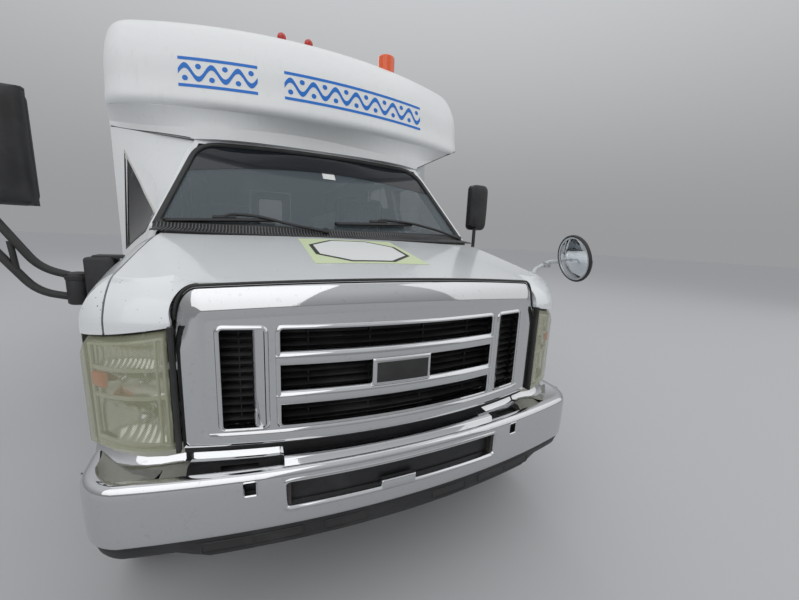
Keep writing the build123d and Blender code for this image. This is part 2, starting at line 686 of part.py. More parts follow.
def front_fender():
    """Shell outboard of the hood's shut line, round the lamp and over the wheel."""
    shut = [(row[0], row[1]) for row in FENDER_SECTIONS]
    edges = [(FENDER_IN - 50, -100), (shut[0][1], -100)] + [(x, y) for y, x in shut] + [(shut[-1][1], 1100), (FENDER_IN - 50, 1100)]
    inboard = prism(polygon([(x, y, FENDER_LOW - 40) for x, y in edges]), (0, 0, NOSE_TOP - FENDER_LOW))
    skin = fender_core() - fender_core(FENDER_T) - inboard - over_lamps(GAP)
    skin -= tube_x(ARCH_R, 600, 1200, FRONT_AXLE, TYRE_R)
    skin -= block(500, 1200, 0, 340, 300, BUMPER_HIGH + 6)
    return skin.solids().sort_by(SortBy.VOLUME)[-1]


def firewall_and_floor():
    floor = block(-900, DOOR_POST_X, FIREWALL, BULKHEAD + 50, CAB_FLOOR_Z - FLOOR_T, CAB_FLOOR_Z)
    floor -= block(-1300, -STEP_IN, ENTRY_FRONT - 60, BULKHEAD + 60, CAB_FLOOR_Z - FLOOR_T - 5, CAB_FLOOR_Z + 5)
    floor += block(-790, 790, FIREWALL, FIREWALL + 25, CAB_FLOOR_Z, 1345)
    return floor


# Windscreen and its frame

def screen_slab(inset, deep):
    """Raked slab bowed in plan, which the glass and its frame are cut from."""
    def section(plan, z):
        x, side_y, mid_y = plan
        return Face(Wire([
            Edge.make_three_point_arc((-x, side_y + inset, z), (0, mid_y + inset, z), (x, side_y + inset, z)),
            Edge.make_line((x, side_y + inset, z), (x, side_y + inset + deep, z)),
            Edge.make_three_point_arc((x, side_y + inset + deep, z), (0, mid_y + inset + deep, z), (-x, side_y + inset + deep, z)),
            Edge.make_line((-x, side_y + inset + deep, z), (-x, side_y + inset, z)),
        ]))
    rise = SCREEN_HIGH_Z - SCREEN_LOW_Z
    over = 100 / rise
    low = [a - (b - a) * over for a, b in zip(SCREEN_LOW, SCREEN_HIGH)]
    high = [b + (b - a) * over for a, b in zip(SCREEN_LOW, SCREEN_HIGH)]
    return loft([section(low, SCREEN_LOW_Z - 100), section(high, SCREEN_HIGH_Z + 100)], ruled=True)


def screen_station(x, z):
    """Station of the windscreen frame's face at a width and a height."""
    part = (z - SCREEN_LOW_Z) / (SCREEN_HIGH_Z - SCREEN_LOW_Z)
    low = SCREEN_LOW[2] + (SCREEN_LOW[1] - SCREEN_LOW[2]) * (x / SCREEN_LOW[0]) ** 2
    high = SCREEN_HIGH[2] + (SCREEN_HIGH[1] - SCREEN_HIGH[2]) * (x / SCREEN_HIGH[0]) ** 2
    return low + (high - low) * part


def cowl():
    """Slatted panel between the hood and the windscreen."""
    slope = side_prism([(700, 1342), (700, 1362), (1010, 1394), (1010, 1370)], -812, 812)
    front, side = HOOD_REAR_MID + COWL_GAP, HOOD_REAR_SIDE + COWL_GAP
    plan = prism([
        Edge.make_three_point_arc((940, side, 1300), (0, front, 1300), (-940, side, 1300)),
        Edge.make_line((-940, side, 1300), (-940, screen_station(940, 1372), 1300)),
        Edge.make_three_point_arc((-940, screen_station(940, 1372), 1300), (0, screen_station(0, 1372), 1300),
                                  (940, screen_station(940, 1372), 1300)),
        Edge.make_line((940, screen_station(940, 1372), 1300), (940, side, 1300)),
    ], (0, 0, 200))
    panel = slope & plan
    for i in range(-COWL_SLOTS, COWL_SLOTS + 1):
        x = i * COWL_PITCH
        mid = (screen_station(x, 1372) + front + (side - front) * (x / 940) ** 2) / 2
        panel -= block(x - 14, x + 14, mid - 40, mid + 40, 1300, 1450)
    return panel


def screen_outline(rim):
    """Front view of the windscreen, moved in by rim."""
    foot_x, foot_z = SCREEN_FOOT_X - rim * 1.1, SCREEN_FOOT_Z + rim
    top_x, top_z, mid_z = HEADER_X - rim * 0.8, HEADER_Z - rim, HEADER_MID_Z - rim
    y = 700
    return prism([
        Edge.make_three_point_arc((-top_x, y, top_z), (0, y, mid_z), (top_x, y, top_z)),
        Edge.make_line((top_x, y, top_z), (foot_x, y, foot_z)),
        Edge.make_three_point_arc((foot_x, y, foot_z), (0, y, foot_z - 8), (-foot_x, y, foot_z)),
        Edge.make_line((-foot_x, y, foot_z), (-top_x, y, top_z)),
    ], (0, 1200, 0))


def windscreen():
    return screen_slab(12, GLASS_T) & screen_outline(SCREEN_RIM)


def cab_frame():
    """Windscreen frame with its pillars, the door posts and sill on the driver's side, and the roof rail."""
    ring = (screen_slab(0, FRAME_DEEP) & screen_outline(0)) - screen_outline(SCREEN_RIM)
    for core in both_sides(fender_core()):
        ring -= core
    post = block(DOOR_POST_X, DOOR_POST_X + 55, FIREWALL + 10, DOOR_FRONT - GAP, CAB_FLOOR_Z - FLOOR_T, 1235)
    sill = block(DOOR_POST_X, 960, DOOR_FRONT + 30, BULKHEAD, DOOR_LOW - 75, DOOR_LOW - GAP)
    sill += block(DOOR_POST_X, DOOR_POST_X + 55, DOOR_FRONT - GAP - 60, DOOR_FRONT + 60, DOOR_LOW - 75, CAB_FLOOR_Z) - tube_x(ARCH_R, 600, 1200, FRONT_AXLE, TYRE_R)
    rail = block(700, 800, 1470, BULKHEAD, DOOR_TOP + GAP, HEADER_Z - GAP)
    rear_post = side_band(0, DOOR_T) & side_prism([
        (DOOR_REAR + GAP, DOOR_LOW - GAP), (BULKHEAD, DOOR_LOW - GAP), (BULKHEAD, DOOR_TOP + GAP), (DOOR_REAR + GAP, DOOR_TOP + GAP),
    ], 600, 1200)
    return ring + post + sill + rail + rear_post


# Cab side and driver's door

def side_band(outer_in, thick):
    """Wall of the cab's side in section, carried from the fender to the bulkhead."""
    outer = [(x - outer_in, z) for x, z in SIDE_PROFILE]
    inner = [(x - thick, z) for x, z in reversed(outer)]
    return front_prism(outer + inner, DOOR_FRONT - 100, BULKHEAD + 100)


def door_outline(inset):
    """Driver's door from the side."""
    i = inset
    return side_prism([
        (DOOR_FRONT + i, DOOR_LOW + i), (DOOR_REAR - i, DOOR_LOW + i), (DOOR_REAR - i, DOOR_TOP - i),
        (1520 + i * 0.4, DOOR_TOP - i), (DOOR_FRONT + i, 1425 - i * 0.4),
    ], 600, 1200)


def door_window(inset):
    i = inset
    return side_prism([
        (1190 + i, 1285 + i), (DOOR_REAR - 90 - i, 1285 + i), (DOOR_REAR - 90 - i, DOOR_TOP - 70 - i),
        (1580 + i * 0.4, DOOR_TOP - 70 - i), (1190 + i, 1420 - i),
    ], 600, 1200)


def driver_door():
    leaf = side_band(0, DOOR_T) & door_outline(0)
    return leaf - door_window(0)


def driver_door_glass():
    return side_band(20, GLASS_T) & door_window(0)


# Front cap

def cap_half_width(z):
    """Half width of the body's section at a height, with its round roof corners."""
    up = z - (ROOF_Z - ROOF_CORNER_R)
    if up <= 0:
        return BODY_HALF
    return BODY_HALF - ROOF_CORNER_R + sqrt(ROOF_CORNER_R ** 2 - up ** 2)


def cap_front(z):
    """Station of the cap's face on the centre line: a round edge, a leaning face and a quarter ellipse."""
    if z <= BROW_Z:
        return BROW_FRONT + BROW_TUCK * ((BROW_Z - z) / (BROW_Z - BROW_LOW_Z)) ** 2
    face_end = BROW_FRONT + FACE_LEAN * (CROWN_Z - BROW_Z)
    if z <= CROWN_Z:
        return BROW_FRONT + FACE_LEAN * (z - BROW_Z)
    part = (z - CROWN_Z) / (ROOF_Z - CROWN_Z)
    return CROWN_END - (CROWN_END - face_end) * sqrt(max(0, 1 - part ** 2))


def cap_height(x, station):
    """Height of the crown at a width and a station."""
    face_end = BROW_FRONT + FACE_LEAN * (CROWN_Z - BROW_Z)
    back = station - CAP_BOW * (x / BODY_HALF) ** 2
    part = (CROWN_END - back) / (CROWN_END - face_end)
    return CROWN_Z + (ROOF_Z - CROWN_Z) * sqrt(1 - max(0, part) ** 2)


def cap_section(z, inset, height, rear):
    """Plan of the cap at a height, with a bowed front and round corners, moved in by inset."""
    half = cap_half_width(z) - inset
    front = cap_front(z) + inset
    deep = rear - front
    bow = min(CAP_BOW, deep * 0.6)
    radius = min(CAP_CORNER_R - inset, deep * 0.3)
    outline = Wire([
        Edge.make_three_point_arc((-half, front + bow, height), (0, front, height), (half, front + bow, height)),
        Edge.make_line((half, front + bow, height), (half, rear, height)),
        Edge.make_line((half, rear, height), (-half, rear, height)),
        Edge.make_line((-half, rear, height), (-half, front + bow, height)),
    ])
    face = Face(outline)
    corners = face.vertices().sort_by(Axis.Y)[:2]
    return face.fillet_2d(radius, corners)


def cap_body(inset, rear):
    """The cap, moved in by inset, with its face carried straight down before the underside is cut."""
    faces = []
    for level in CAP_LEVELS:
        span = (level - BROW_LOW_Z) / (ROOF_Z - BROW_LOW_Z)
        faces.append(cap_section(level, inset, level + inset * (1 - 2 * span), rear))
    skirt = cap_section(BROW_LOW_Z, inset, CAP_FOOT_Z, rear)
    return loft(faces) + Solid.extrude(skirt, Vector(0, 0, BROW_LOW_Z + inset - CAP_FOOT_Z))


# Underside of the brow: width, station and height of the lip over the windscreen, then of the brow's edge
CAP_FOOT_Z = 1880
BROW_REACH = 400
BROW_SECTIONS = (
    (-BODY_HALF - 30, CURB_FRONT - 12, 2012, CURB_FRONT - 24, 2090),
    (-1000, 1584, 1996, 1492, BROW_LOW_Z),
    (-HEADER_X, 1428, 1982, 1402, BROW_LOW_Z),
    (0, 1392, 2013, 1295, BROW_LOW_Z),
    (HEADER_X, 1428, 1982, 1402, BROW_LOW_Z),
    (1000, 1584, 2046, 1492, 2094),
    (BODY_HALF + 30, CURB_FRONT - 12, 2110, CURB_FRONT - 24, 2130),
)


def brow_cut(inset):
    """What is in front of the lip and below the brow, grown by inset, with a hollow underside."""
    faces = []
    for x, lip, lip_z, edge, edge_z in BROW_SECTIONS:
        back, up, front, top = lip + inset, lip_z + inset, edge, edge_z + inset
        mid = ((back + front) / 2 + 6, (up + top) / 2 + 6)
        ahead = edge - BROW_REACH
        faces.append(Face(Wire([
            Edge.make_line((x, back, CAP_FOOT_Z - 100), (x, back, up)),
            Edge.make_three_point_arc((x, back, up), (x, *mid), (x, front, top)),
            Edge.make_line((x, front, top), (x, ahead, top)),
            Edge.make_line((x, ahead, top), (x, ahead, CAP_FOOT_Z - 100)),
            Edge.make_line((x, ahead, CAP_FOOT_Z - 100), (x, back, CAP_FOOT_Z - 100)),
        ])))
    return loft(faces)


def under_cap(lift):
    """Everything below the cap's lower edge: curb seam, windscreen head, then up to the driver's seam."""
    out = BODY_HALF + 60
    curb_slope = (CURB_SEAM_Z - HEADER_Z) / (BODY_HALF - HEADER_X)
    driver_slope = (DRIVER_SEAM_Z - HEADER_Z) / (BODY_HALF - HEADER_X)
    y, low = 700, 300
    points = [
        (-HEADER_X, HEADER_Z), (-out, CURB_SEAM_Z + 60 * curb_slope), (-out, low), (out, low),
        (out, DRIVER_SEAM_Z + 60 * driver_slope + lift), (HEADER_X, HEADER_Z + lift),
    ]
    edges = [Edge.make_line((a[0], y, a[1]), (b[0], y, b[1])) for a, b in zip(points, points[1:])]
    edges.append(Edge.make_three_point_arc((HEADER_X, y, HEADER_Z + lift), (0, y, HEADER_MID_Z + lift), (-HEADER_X, y, HEADER_Z)))
    return prism(edges, (0, 1900, 0))


def front_cap():
    """Hollow cap: open below over the cab, with a floor beyond the driver's door."""
    outer = cap_body(0, CAP_REAR) - brow_cut(0)
    hollow = cap_body(CAP_T, CAP_REAR + 50) - brow_cut(CAP_T)
    beyond_door = block(HEADER_X - 20, BODY_HALF + 50, BROW_FRONT, CAP_REAR + 60, CAP_FOOT_Z - 80, DRIVER_SEAM_Z + 50)
    cap = outer - under_cap(0) - (hollow - (under_cap(CAP_T) & beyond_door))
    # Room for the side walls, which stand under the roof's side panel
    cap -= block(-BODY_HALF - 50, -BODY_HALF + WALL + 100, CURB_FRONT + 46, CAP_REAR + 60, CAP_FOOT_Z - 80, WALL_TOP)
    cap -= block(BODY_HALF - WALL - 100, BODY_HALF + 50, BULKHEAD, CAP_REAR + 60, CAP_FOOT_Z - 80, WALL_TOP)
    return cap


# Curb-side fairing

FAIRING_T = 26


def strip(a, b, thick, inset):
    """Upright strip between two points, as the end section of the fairing: inset inwards, thick deep."""
    (ax, ay, az), (bx, by, bz) = a, b
    return Face(Wire(polygon([
        (ax + inset, ay, az), (bx + inset, by, bz), (bx + inset + thick, by, bz), (ax + inset + thick, ay, az),
    ])))


def fairing_skin(inset, thick):
    front = strip((-SCREEN_FOOT_X - FAIRING_T, 975, 1310), (-HEADER_X - FAIRING_T, 1462, 1914), thick, inset)
    rear = strip((-BODY_HALF, CURB_FRONT, 1150), (-BODY_HALF, CURB_FRONT, CURB_SEAM_Z), thick, inset)
    return loft([front, rear], ruled=True)


def fairing_lower():
    def post(y, points):
        inner = [(x + FAIRING_T, z) for x, z in reversed(points)]
        return Face(Wire(polygon([(x, y, z) for x, z in points + inner])))
    front = post(1056, [(-1002, 480), (-1010, 1000), (-958, 1262)])
    rear = post(CURB_FRONT, [(-BODY_HALF, SKIRT_Z), (-BODY_HALF, 900), (-BODY_HALF, 1160)])
    return loft([front, rear], ruled=True)


def quarter_window(inset):
    """Triangular window, from the side."""
    i = inset
    points = [(1590 - i, 1250 + i), (1650 - i, 1820 - i * 2), (1185 + i * 2, 1478 + i * 0.5), (1162 + i, 1362 + i)]
    hole = side_prism(points, -1400, -700)
    return fillet(hole.edges().filter_by(Axis.X), 14)


def fairing():
    skin = fairing_skin(0, FAIRING_T) & under_cap(0)
    panel = skin + fairing_lower() - quarter_window(0)
    panel -= screen_slab(0, FRAME_DEEP) & screen_outline(0)
    return panel - mirror(fender_core() + front_fender(), about=Plane.YZ)


# Body

def wall_panel(side, front):
    x0, x1 = side * (BODY_HALF - WALL), side * BODY_HALF
    panel = block(x0, x1, front, REAR_WALL, SKIRT_Z, WALL_TOP)
    panel -= tube_x(ARCH_R, side * 1000, side * 1300, REAR_AXLE, TYRE_R)
    return panel


def wall_curb():
    wall = wall_panel(-1, CURB_FRONT)
    x0, x1 = -BODY_HALF - 5, -BODY_HALF + WALL + 5
    wall -= block(x0, x1, CURB_FRONT - 1, CURB_FRONT + 46, CURB_SEAM_Z - 8, WALL_TOP + 5)
    wall -= block(x0, x1, ENTRY_FRONT, ENTRY_REAR, SKIRT_Z - 5, ENTRY_TOP)
    wall -= block(x0, x1, SERVE_FRONT, SERVE_REAR, SERVE_LOW, SERVE_HIGH)
    return wall


def wall_driver():
    wall = wall_panel(1, BULKHEAD)
    window = block(BODY_HALF - WALL - 5, BODY_HALF + 5, 3000, 3900, 1450, 2050)
    wall -= fillet(window.edges().filter_by(Axis.X), 60)
    wall += block(960, BODY_HALF - WALL, BULKHEAD, BULKHEAD + WALL, SKIRT_Z + 80, DRIVER_SEAM_Z) & under_cap(0)
    return wall


def roof_outline(inset, low):
    """Section of the roof and the walls' tops, open below."""
    r = ROOF_CORNER_R - inset
    half, top = BODY_HALF - inset, ROOF_Z - inset
    k = r * (1 - cos(radians(45)))
    y = CAP_REAR
    return Face(Wire([
        Edge.make_line((-half, y, low), (-half, y, top - r)),
        Edge.make_three_point_arc((-half, y, top - r), (-half + k, y, top - k), (-half + r, y, top)),
        Edge.make_line((-half + r, y, top), (half - r, y, top)),
        Edge.make_three_point_arc((half - r, y, top), (half - k, y, top - k), (half, y, top - r)),
        Edge.make_line((half, y, top - r), (half, y, low)),
        Edge.make_line((half, y, low), (-half, y, low)),
    ]))


def roof_panel():
    outer = Solid.extrude(roof_outline(0, WALL_TOP), Vector(0, REAR_WALL - CAP_REAR, 0))
    inner = Solid.extrude(Pos(0, -5, 0) * roof_outline(WALL, WALL_TOP - 5), Vector(0, REAR_WALL - CAP_REAR + 10, 0))
    return outer - inner


def rear_wall():
    wall = Pos(0, REAR_WALL - CAP_REAR, 0) * Solid.extrude(roof_outline(0, SKIRT_Z), Vector(0, WALL, 0))
    wall -= block(-REAR_DOOR_HALF, REAR_DOOR_HALF, REAR_WALL - 5, REAR_WALL + WALL + 5, REAR_DOOR_LOW, REAR_DOOR_HIGH)
    return wall


def body_floor():
    inside = BODY_HALF - WALL
    floor = block(-inside, inside, BULKHEAD + 50, REAR_WALL, BODY_FLOOR_Z - FLOOR_T, BODY_FLOOR_Z)
    floor -= block(-inside - 5, -STEP_IN, BULKHEAD, ENTRY_REAR, BODY_FLOOR_Z - FLOOR_T - 5, BODY_FLOOR_Z + 5)
    for y in (2650, 3300, 3950, 5350, 6000, 6650):
        floor += block(-inside, inside, y - 30, y + 30, FRAME_TOP, BODY_FLOOR_Z - FLOOR_T)
    floor += block(-STEP_IN, DOOR_POST_X, BULKHEAD + 50, BULKHEAD + 75, FRAME_TOP, BODY_FLOOR_Z - FLOOR_T)
    return floor + entry_steps()


def entry_steps():
    """Two treads and their risers behind the folding door."""
    x0, x1 = -BODY_HALF + WALL, -STEP_IN
    y0, y1 = ENTRY_FRONT - 30, ENTRY_REAR + 30
    steps = block(x0, x1 - 200, y0, y1, 420, 440)
    steps += block(x1 - 220, x1 - 200, y0, y1, 420, 620)
    steps += block(x1 - 220, x1, y0, y1, 620, 640)
    steps += block(x1 - 20, x1, y0, y1, 620, BODY_FLOOR_Z - 60)
    for y in (y0, y1 - 20):
        steps += block(x0, x1, y, y + 20, 420, 640)
    return steps


def entry_leaf(front, rear):
    x0, x1 = -BODY_HALF, -BODY_HALF + 36
    leaf = block(x0, x1, front, rear, ENTRY_LOW, ENTRY_TOP - GAP)
    for low, high in ((560, 1180), (1240, ENTRY_TOP - 90)):
        leaf -= block(x0 - 5, x1 + 5, front + 60, rear - 60, low, high)
    return leaf


def entry_pane(front, rear):
    x0 = -BODY_HALF + 14
    pane = None
    for low, high in ((560, 1180), (1240, ENTRY_TOP - 90)):
        one = block(x0, x0 + GLASS_T, front + 60, rear - 60, low, high)
        pane = one if pane is None else pane + one
    return pane


ENTRY_MID = (ENTRY_FRONT + ENTRY_REAR) / 2
ENTRY_LEAVES = {
    "front": (ENTRY_FRONT + GAP, ENTRY_MID - GAP / 2),
    "rear": (ENTRY_MID + GAP / 2, ENTRY_REAR - GAP),
}


def serving_frame():
    """Frame of the serving hatch and its fixed half pane's sill."""
    x0, x1 = -BODY_HALF + 6, -BODY_HALF + WALL + 20
    frame = block(x0 + 34, x1, SERVE_FRONT, SERVE_REAR, SERVE_LOW, SERVE_HIGH)
    frame -= block(x0, x1 + 5, SERVE_FRONT + 30, SERVE_REAR - 30, SERVE_LOW + 30, SERVE_HIGH - 30)
    frame += block(x0 + 36, x1 - 5, SERVE_FRONT + 740, SERVE_FRONT + 765, SERVE_LOW + 20, SERVE_HIGH - 20)
    return frame


def awning_flap():
    x0 = -BODY_HALF - FLAP_T + 24
    flap = block(x0, x0 + FLAP_T, SERVE_FRONT + GAP, SERVE_REAR - GAP, SERVE_LOW + GAP, SERVE_HIGH - GAP)
    return flap


def counter_shelf():
    x1 = -BODY_HALF - GAP
    y0, y1 = SERVE_FRONT + 100, SERVE_REAR - 100
    leaf = block(x1 - SHELF_T, x1, y0, y1, SHELF_Z - SHELF_DEEP, SHELF_Z)
    return leaf + tube_y(GAP - RUN_FIT, y0, y1, x1, SHELF_Z)


def body_glass():
    """Fixed panes: quarter window, serving half pane and the window in the driver's side."""
    quarter = fairing_skin(9, GLASS_T) & quarter_window(0)
    side = block(BODY_HALF - 26, BODY_HALF - 20, 3000, 3900, 1450, 2050)
    side = fillet(side.edges().filter_by(Axis.X), 60)
    x = -BODY_HALF + 50
    serve = block(x, x + GLASS_T, SERVE_FRONT + 765, SERVE_REAR - 30, SERVE_LOW + 30, SERVE_HIGH - 30)
    return quarter, side, serve


def rear_door():
    g = GAP
    leaf = block(-REAR_DOOR_HALF + g, REAR_DOOR_HALF - g, REAR_WALL, REAR_WALL + WALL, REAR_DOOR_LOW + g, REAR_DOOR_HIGH - g)
    return leaf - rear_door_window()


def rear_door_window():
    hole = block(-240, 240, REAR_WALL - 5, REAR_WALL + WALL + 5, 1550, 2080)
    return fillet(hole.edges().filter_by(Axis.Y), 50)


def rear_door_glass():
    return rear_door_window() & block(-300, 300, REAR_WALL + 20, REAR_WALL + 26, 1500, 2100)


def rear_bumper():
    rear = LENGTH - BUMPER_BOW
    bumper = block(-1150, 1150, REAR_WALL + WALL, rear, 430, 580)
    bumper -= block(-1140, 1140, REAR_WALL + WALL - 1, rear - 10, 420, 572)
    for side in (-1, 1):
        bumper += block(side * 370, side * 420, REAR_WALL + WALL, rear - 10, 520, 572)
        bumper -= tube_y(PLATE_HOLE_R, rear - 15, rear + 5, side * PLATE_PITCH / 2, PLATE_Z)
    return bumper


def tail_lamps():
    lamp = block(900, 1100, REAR_WALL + WALL, REAR_WALL + WALL + 22, 900, 1000)
    high = block(950, 1060, REAR_WALL + WALL, REAR_WALL + WALL + 18, 2450, 2490)
    return both_sides(lamp) + both_sides(high)


ROOF_LAMPS = ((-210, 1665), (-30, 1665))
ROOF_LAMP_R = 30
BEACON_R = 66
BEACON_H = 105


def roof_lamps():
    """Small marker domes on the crown of the cap."""
    domes = [Pos(x, y, cap_height(x, y) + 6) * Sphere(ROOF_LAMP_R) for x, y in ROOF_LAMPS]
    return [dome - cap_body(0, CAP_REAR) for dome in domes]


def beacon():
    """Short flat-topped beacon on the crown of the cap."""
    x, y = 610, 1800
    top = cap_height(x, y) + BEACON_H
    lamp = tube_z(BEACON_R, top - BEACON_H - 60, top, x, y)
    lamp = fillet(lamp.edges().filter_by(GeomType.CIRCLE).sort_by(Axis.Z)[-1], 18)
    return lamp - cap_body(0, CAP_REAR)


# Mirrors

def curb_mirror():
    """Head on two bent tubes from a bracket box on the fender."""
    fender = mirror(fender_core() + front_fender(), about=Plane.YZ)
    box = fillet(block(-1012, -885, 500, 600, 1090, 1275).edges().filter_by(Axis.Y), 18) - fender
    box = box.solids().sort_by(SortBy.VOLUME)[-1]
    barrel = tube_z(36, 1095, 1208, -1044, 550)
    head_x = -MIRROR_REACH + 40
    arms = rod((-1044, 550, 1190), (-1147, 550, 1224), 14) + rod((-1147, 550, 1224), (head_x + 10, 560, 1460), 14)
    arms += rod((-1044, 550, 1112), (-1161, 550, 1139), 14) + rod((-1161, 550, 1139), (head_x, 560, 1345), 14)
    arms += rod((head_x, 560, 1335), (head_x, 560, 1460), 14) + rod((-1216, 552, 1310), (-1208, 552, 1215), 10)
    head = block(-MIRROR_REACH, -MIRROR_REACH + MIRROR_HEAD, 520, 600, 1440, 1825)
    head = fillet(head.edges().filter_by(Axis.Y), 34)
    return box + barrel + arms + head


def door_mirror():
    """Head and arms on the driver's door."""
    head = block(MIRROR_REACH - 176, MIRROR_REACH, 1270, 1340, 1480, 1833)
    head = fillet(head.edges().filter_by(Axis.Y), 25)
    post_x = MIRROR_REACH - 95
    arms = rod((985, 1310, 1240), (post_x, 1305, 1300), 14) + rod((post_x, 1305, 1290), (post_x, 1305, 1490), 14)
    return head + arms - driver_door() - side_band(DOOR_T, 200)


CONVEX_FACING = (-0.96, 0.2, -0.2)
CONVEX_RISE = 28
CONVEX_DEEP = 24


def convex_mirror():
    """Round mirror on an arm from the driver's fender, turned in towards the hood."""
    stand = Plane(origin=(1149, 238, 1320), z_dir=CONVEX_FACING)
    ball_r = (CONVEX_R ** 2 + CONVEX_RISE ** 2) / (2 * CONVEX_RISE)
    face = Pos(0, 0, CONVEX_RISE + CONVEX_DEEP / 2 - ball_r) * Sphere(ball_r)
    face &= Pos(0, 0, CONVEX_RISE / 2 + CONVEX_DEEP / 2) * Cylinder(CONVEX_R - 6, CONVEX_RISE)
    dish = stand * (Cylinder(CONVEX_R, CONVEX_DEEP) + face)
    arm = rod((912, 300, 1150), (930, 300, 1252), 13) + rod((930, 300, 1252), (1166, 352, 1302), 12)
    arm += Pos(930, 300, 1252) * Sphere(14)
    return dish + arm - fender_core() - front_fender()


def wipers():
    arms = []
    for pivot_x, tip_x, tip_z in ((-120, -620, 1440), (430, -80, 1462)):
        pivot = (pivot_x, screen_station(pivot_x, 1404) - 18, 1404)
        tip = (tip_x, screen_station(tip_x, tip_z) - 18, tip_z)
        arms.append(rod(pivot, tip, 8))
    return arms


# Inside

def dashboard():
    return front_prism([(-780, 1050), (780, 1050), (780, 1330), (-780, 1330)], FIREWALL + 60, FIREWALL + 330)


def seat():
    base = block(230, 720, 1560, 2050, CAB_FLOOR_Z, 1080)
    back = block(240, 710, 1960, 2080, 1080, 1750)
    return base + back


def steering_wheel():
    wheel = Pos(475, 1400, 1330) * Rot(-60, 0, 0) * Torus(190, 16)
    column = rod((475, 1400, 1330), (475, 1255, 1245), 30)
    spokes = Pos(475, 1400, 1330) * Rot(-60, 0, 0) * Box(380, 40, 16)
    return wheel + column + spokes - dashboard()


def freezer():
    body = block(-1100, -420, 4600, 6100, BODY_FLOOR_Z, 1740)
    return fillet(body.edges().filter_by(Axis.Z), 30)


def work_counter():
    return block(700, 1160, 2700, 6200, BODY_FLOOR_Z, 1720)


save("chassis_frame", chassis_frame())
save("engine_block", engine_block())
save("rear_axle", rear_axle(), drive_shaft())
save("leaf_springs", leaf_spring(SPRING_X), leaf_spring(-SPRING_X))
save("front_axle", front_axle())
save("fuel_tank", fuel_tank())
save("exhaust", exhaust())
for label, side in (("left", 1), ("right", -1)):
    save(f"knuckle_{label}", knuckle(side))
    save(f"rim_front_{label}", front_rim(side))
    save(f"rim_rear_{label}", rear_rims(side))
    save(f"tyre_front_{label}", tyre(side * FRONT_WHEEL_X, FRONT_AXLE))
    save(f"tyre_rear_{label}", *[tyre(side * (REAR_WHEEL_X + k), REAR_AXLE) for k in (-TWIN_HALF, TWIN_HALF)])
save("front_fenders", *both_sides(front_fender()))
save("hood", hood())
save("grille_surround", grille_surround())
save("grille_louvres", grille_louvres())
save("headlamps", *both_sides(headlamp()))
save("front_bumper", front_bumper())
save("bumper_valance", bumper_valance())
save("cab_floor", firewall_and_floor())
save("cab_frame", cab_frame())
save("windscreen", windscreen())
save("cowl", cowl())
save("driver_door", driver_door())
save("driver_door_glass", driver_door_glass())
save("door_mirror", door_mirror())
save("front_cap", front_cap())
save("fairing", fairing())
save("wall_curb", wall_curb())
save("wall_driver", wall_driver())
save("roof_panel", roof_panel())
save("rear_wall", rear_wall())
save("body_floor", body_floor())
for label, (front, rear) in ENTRY_LEAVES.items():
    save(f"entry_leaf_{label}", entry_leaf(front, rear))
    save(f"entry_pane_{label}", entry_pane(front, rear))
save("serving_frame", serving_frame())
save("awning_flap", awning_flap())
save("counter_shelf", counter_shelf())
save("body_glass", *body_glass())
save("rear_door", rear_door())
save("rear_door_glass", rear_door_glass())
save("rear_bumper", rear_bumper())
save("red_lamps", *tail_lamps(), *roof_lamps())
save("beacon", beacon())
save("mirrors", curb_mirror(), convex_mirror())
save("wipers", *wipers())
save("dashboard", dashboard())
save("seat", seat())
save("steering_wheel", steering_wheel())
save("galley", freezer(), work_counter())
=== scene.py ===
import json
import math

import bmesh
import bpy
from mathutils import Matrix, Vector
from mathutils.bvhtree import BVHTree


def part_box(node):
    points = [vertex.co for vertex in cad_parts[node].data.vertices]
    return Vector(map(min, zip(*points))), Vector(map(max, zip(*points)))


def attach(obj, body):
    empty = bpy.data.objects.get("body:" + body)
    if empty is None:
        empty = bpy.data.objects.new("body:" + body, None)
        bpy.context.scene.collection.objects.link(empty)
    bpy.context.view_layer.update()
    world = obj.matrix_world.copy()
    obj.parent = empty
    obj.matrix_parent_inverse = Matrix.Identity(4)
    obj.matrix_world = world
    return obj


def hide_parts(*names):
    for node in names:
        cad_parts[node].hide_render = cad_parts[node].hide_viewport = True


bl_info = {
    "name": "Ice Cream Truck Finish",
    "version": (1, 0, 0),
    "blender": (4, 5, 0),
    "location": "View3D > Sidebar > Truck",
    "description": "Finishes, trim and lighting around the fixed frame of an ice cream truck",
    "category": "Add Mesh",
}

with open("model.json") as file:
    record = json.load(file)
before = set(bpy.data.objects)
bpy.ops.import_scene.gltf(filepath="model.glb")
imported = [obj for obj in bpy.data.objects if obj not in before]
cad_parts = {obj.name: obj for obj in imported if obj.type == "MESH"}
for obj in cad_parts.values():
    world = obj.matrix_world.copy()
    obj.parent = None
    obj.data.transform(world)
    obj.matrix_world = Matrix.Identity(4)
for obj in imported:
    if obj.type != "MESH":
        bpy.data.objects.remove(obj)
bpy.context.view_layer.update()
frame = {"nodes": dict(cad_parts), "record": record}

# Metres. x points to the driver's side and z up; a station is the distance behind the corners of the grille.
BUMPER_BOW = 0.158
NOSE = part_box("front_bumper")[0].y + BUMPER_BOW
TRUCK = "truck_body"


def at(x, station, z):
    """A point of the frame from a width, a station and a height."""
    return Vector((x, station + NOSE, z))


class TruckSizes(bpy.types.PropertyGroup):
    """Sizes of the trim that a user may change."""

    stripe_edge: bpy.props.FloatProperty(
        name="Decal border", description="Width of the black line round the octagon", default=0.018, min=0.002,
        unit="LENGTH")
    tread_depth: bpy.props.FloatProperty(
        name="Tread depth", description="Depth of the grooves in the tyres", default=0.009, min=0.002, max=0.012,
        unit="LENGTH")


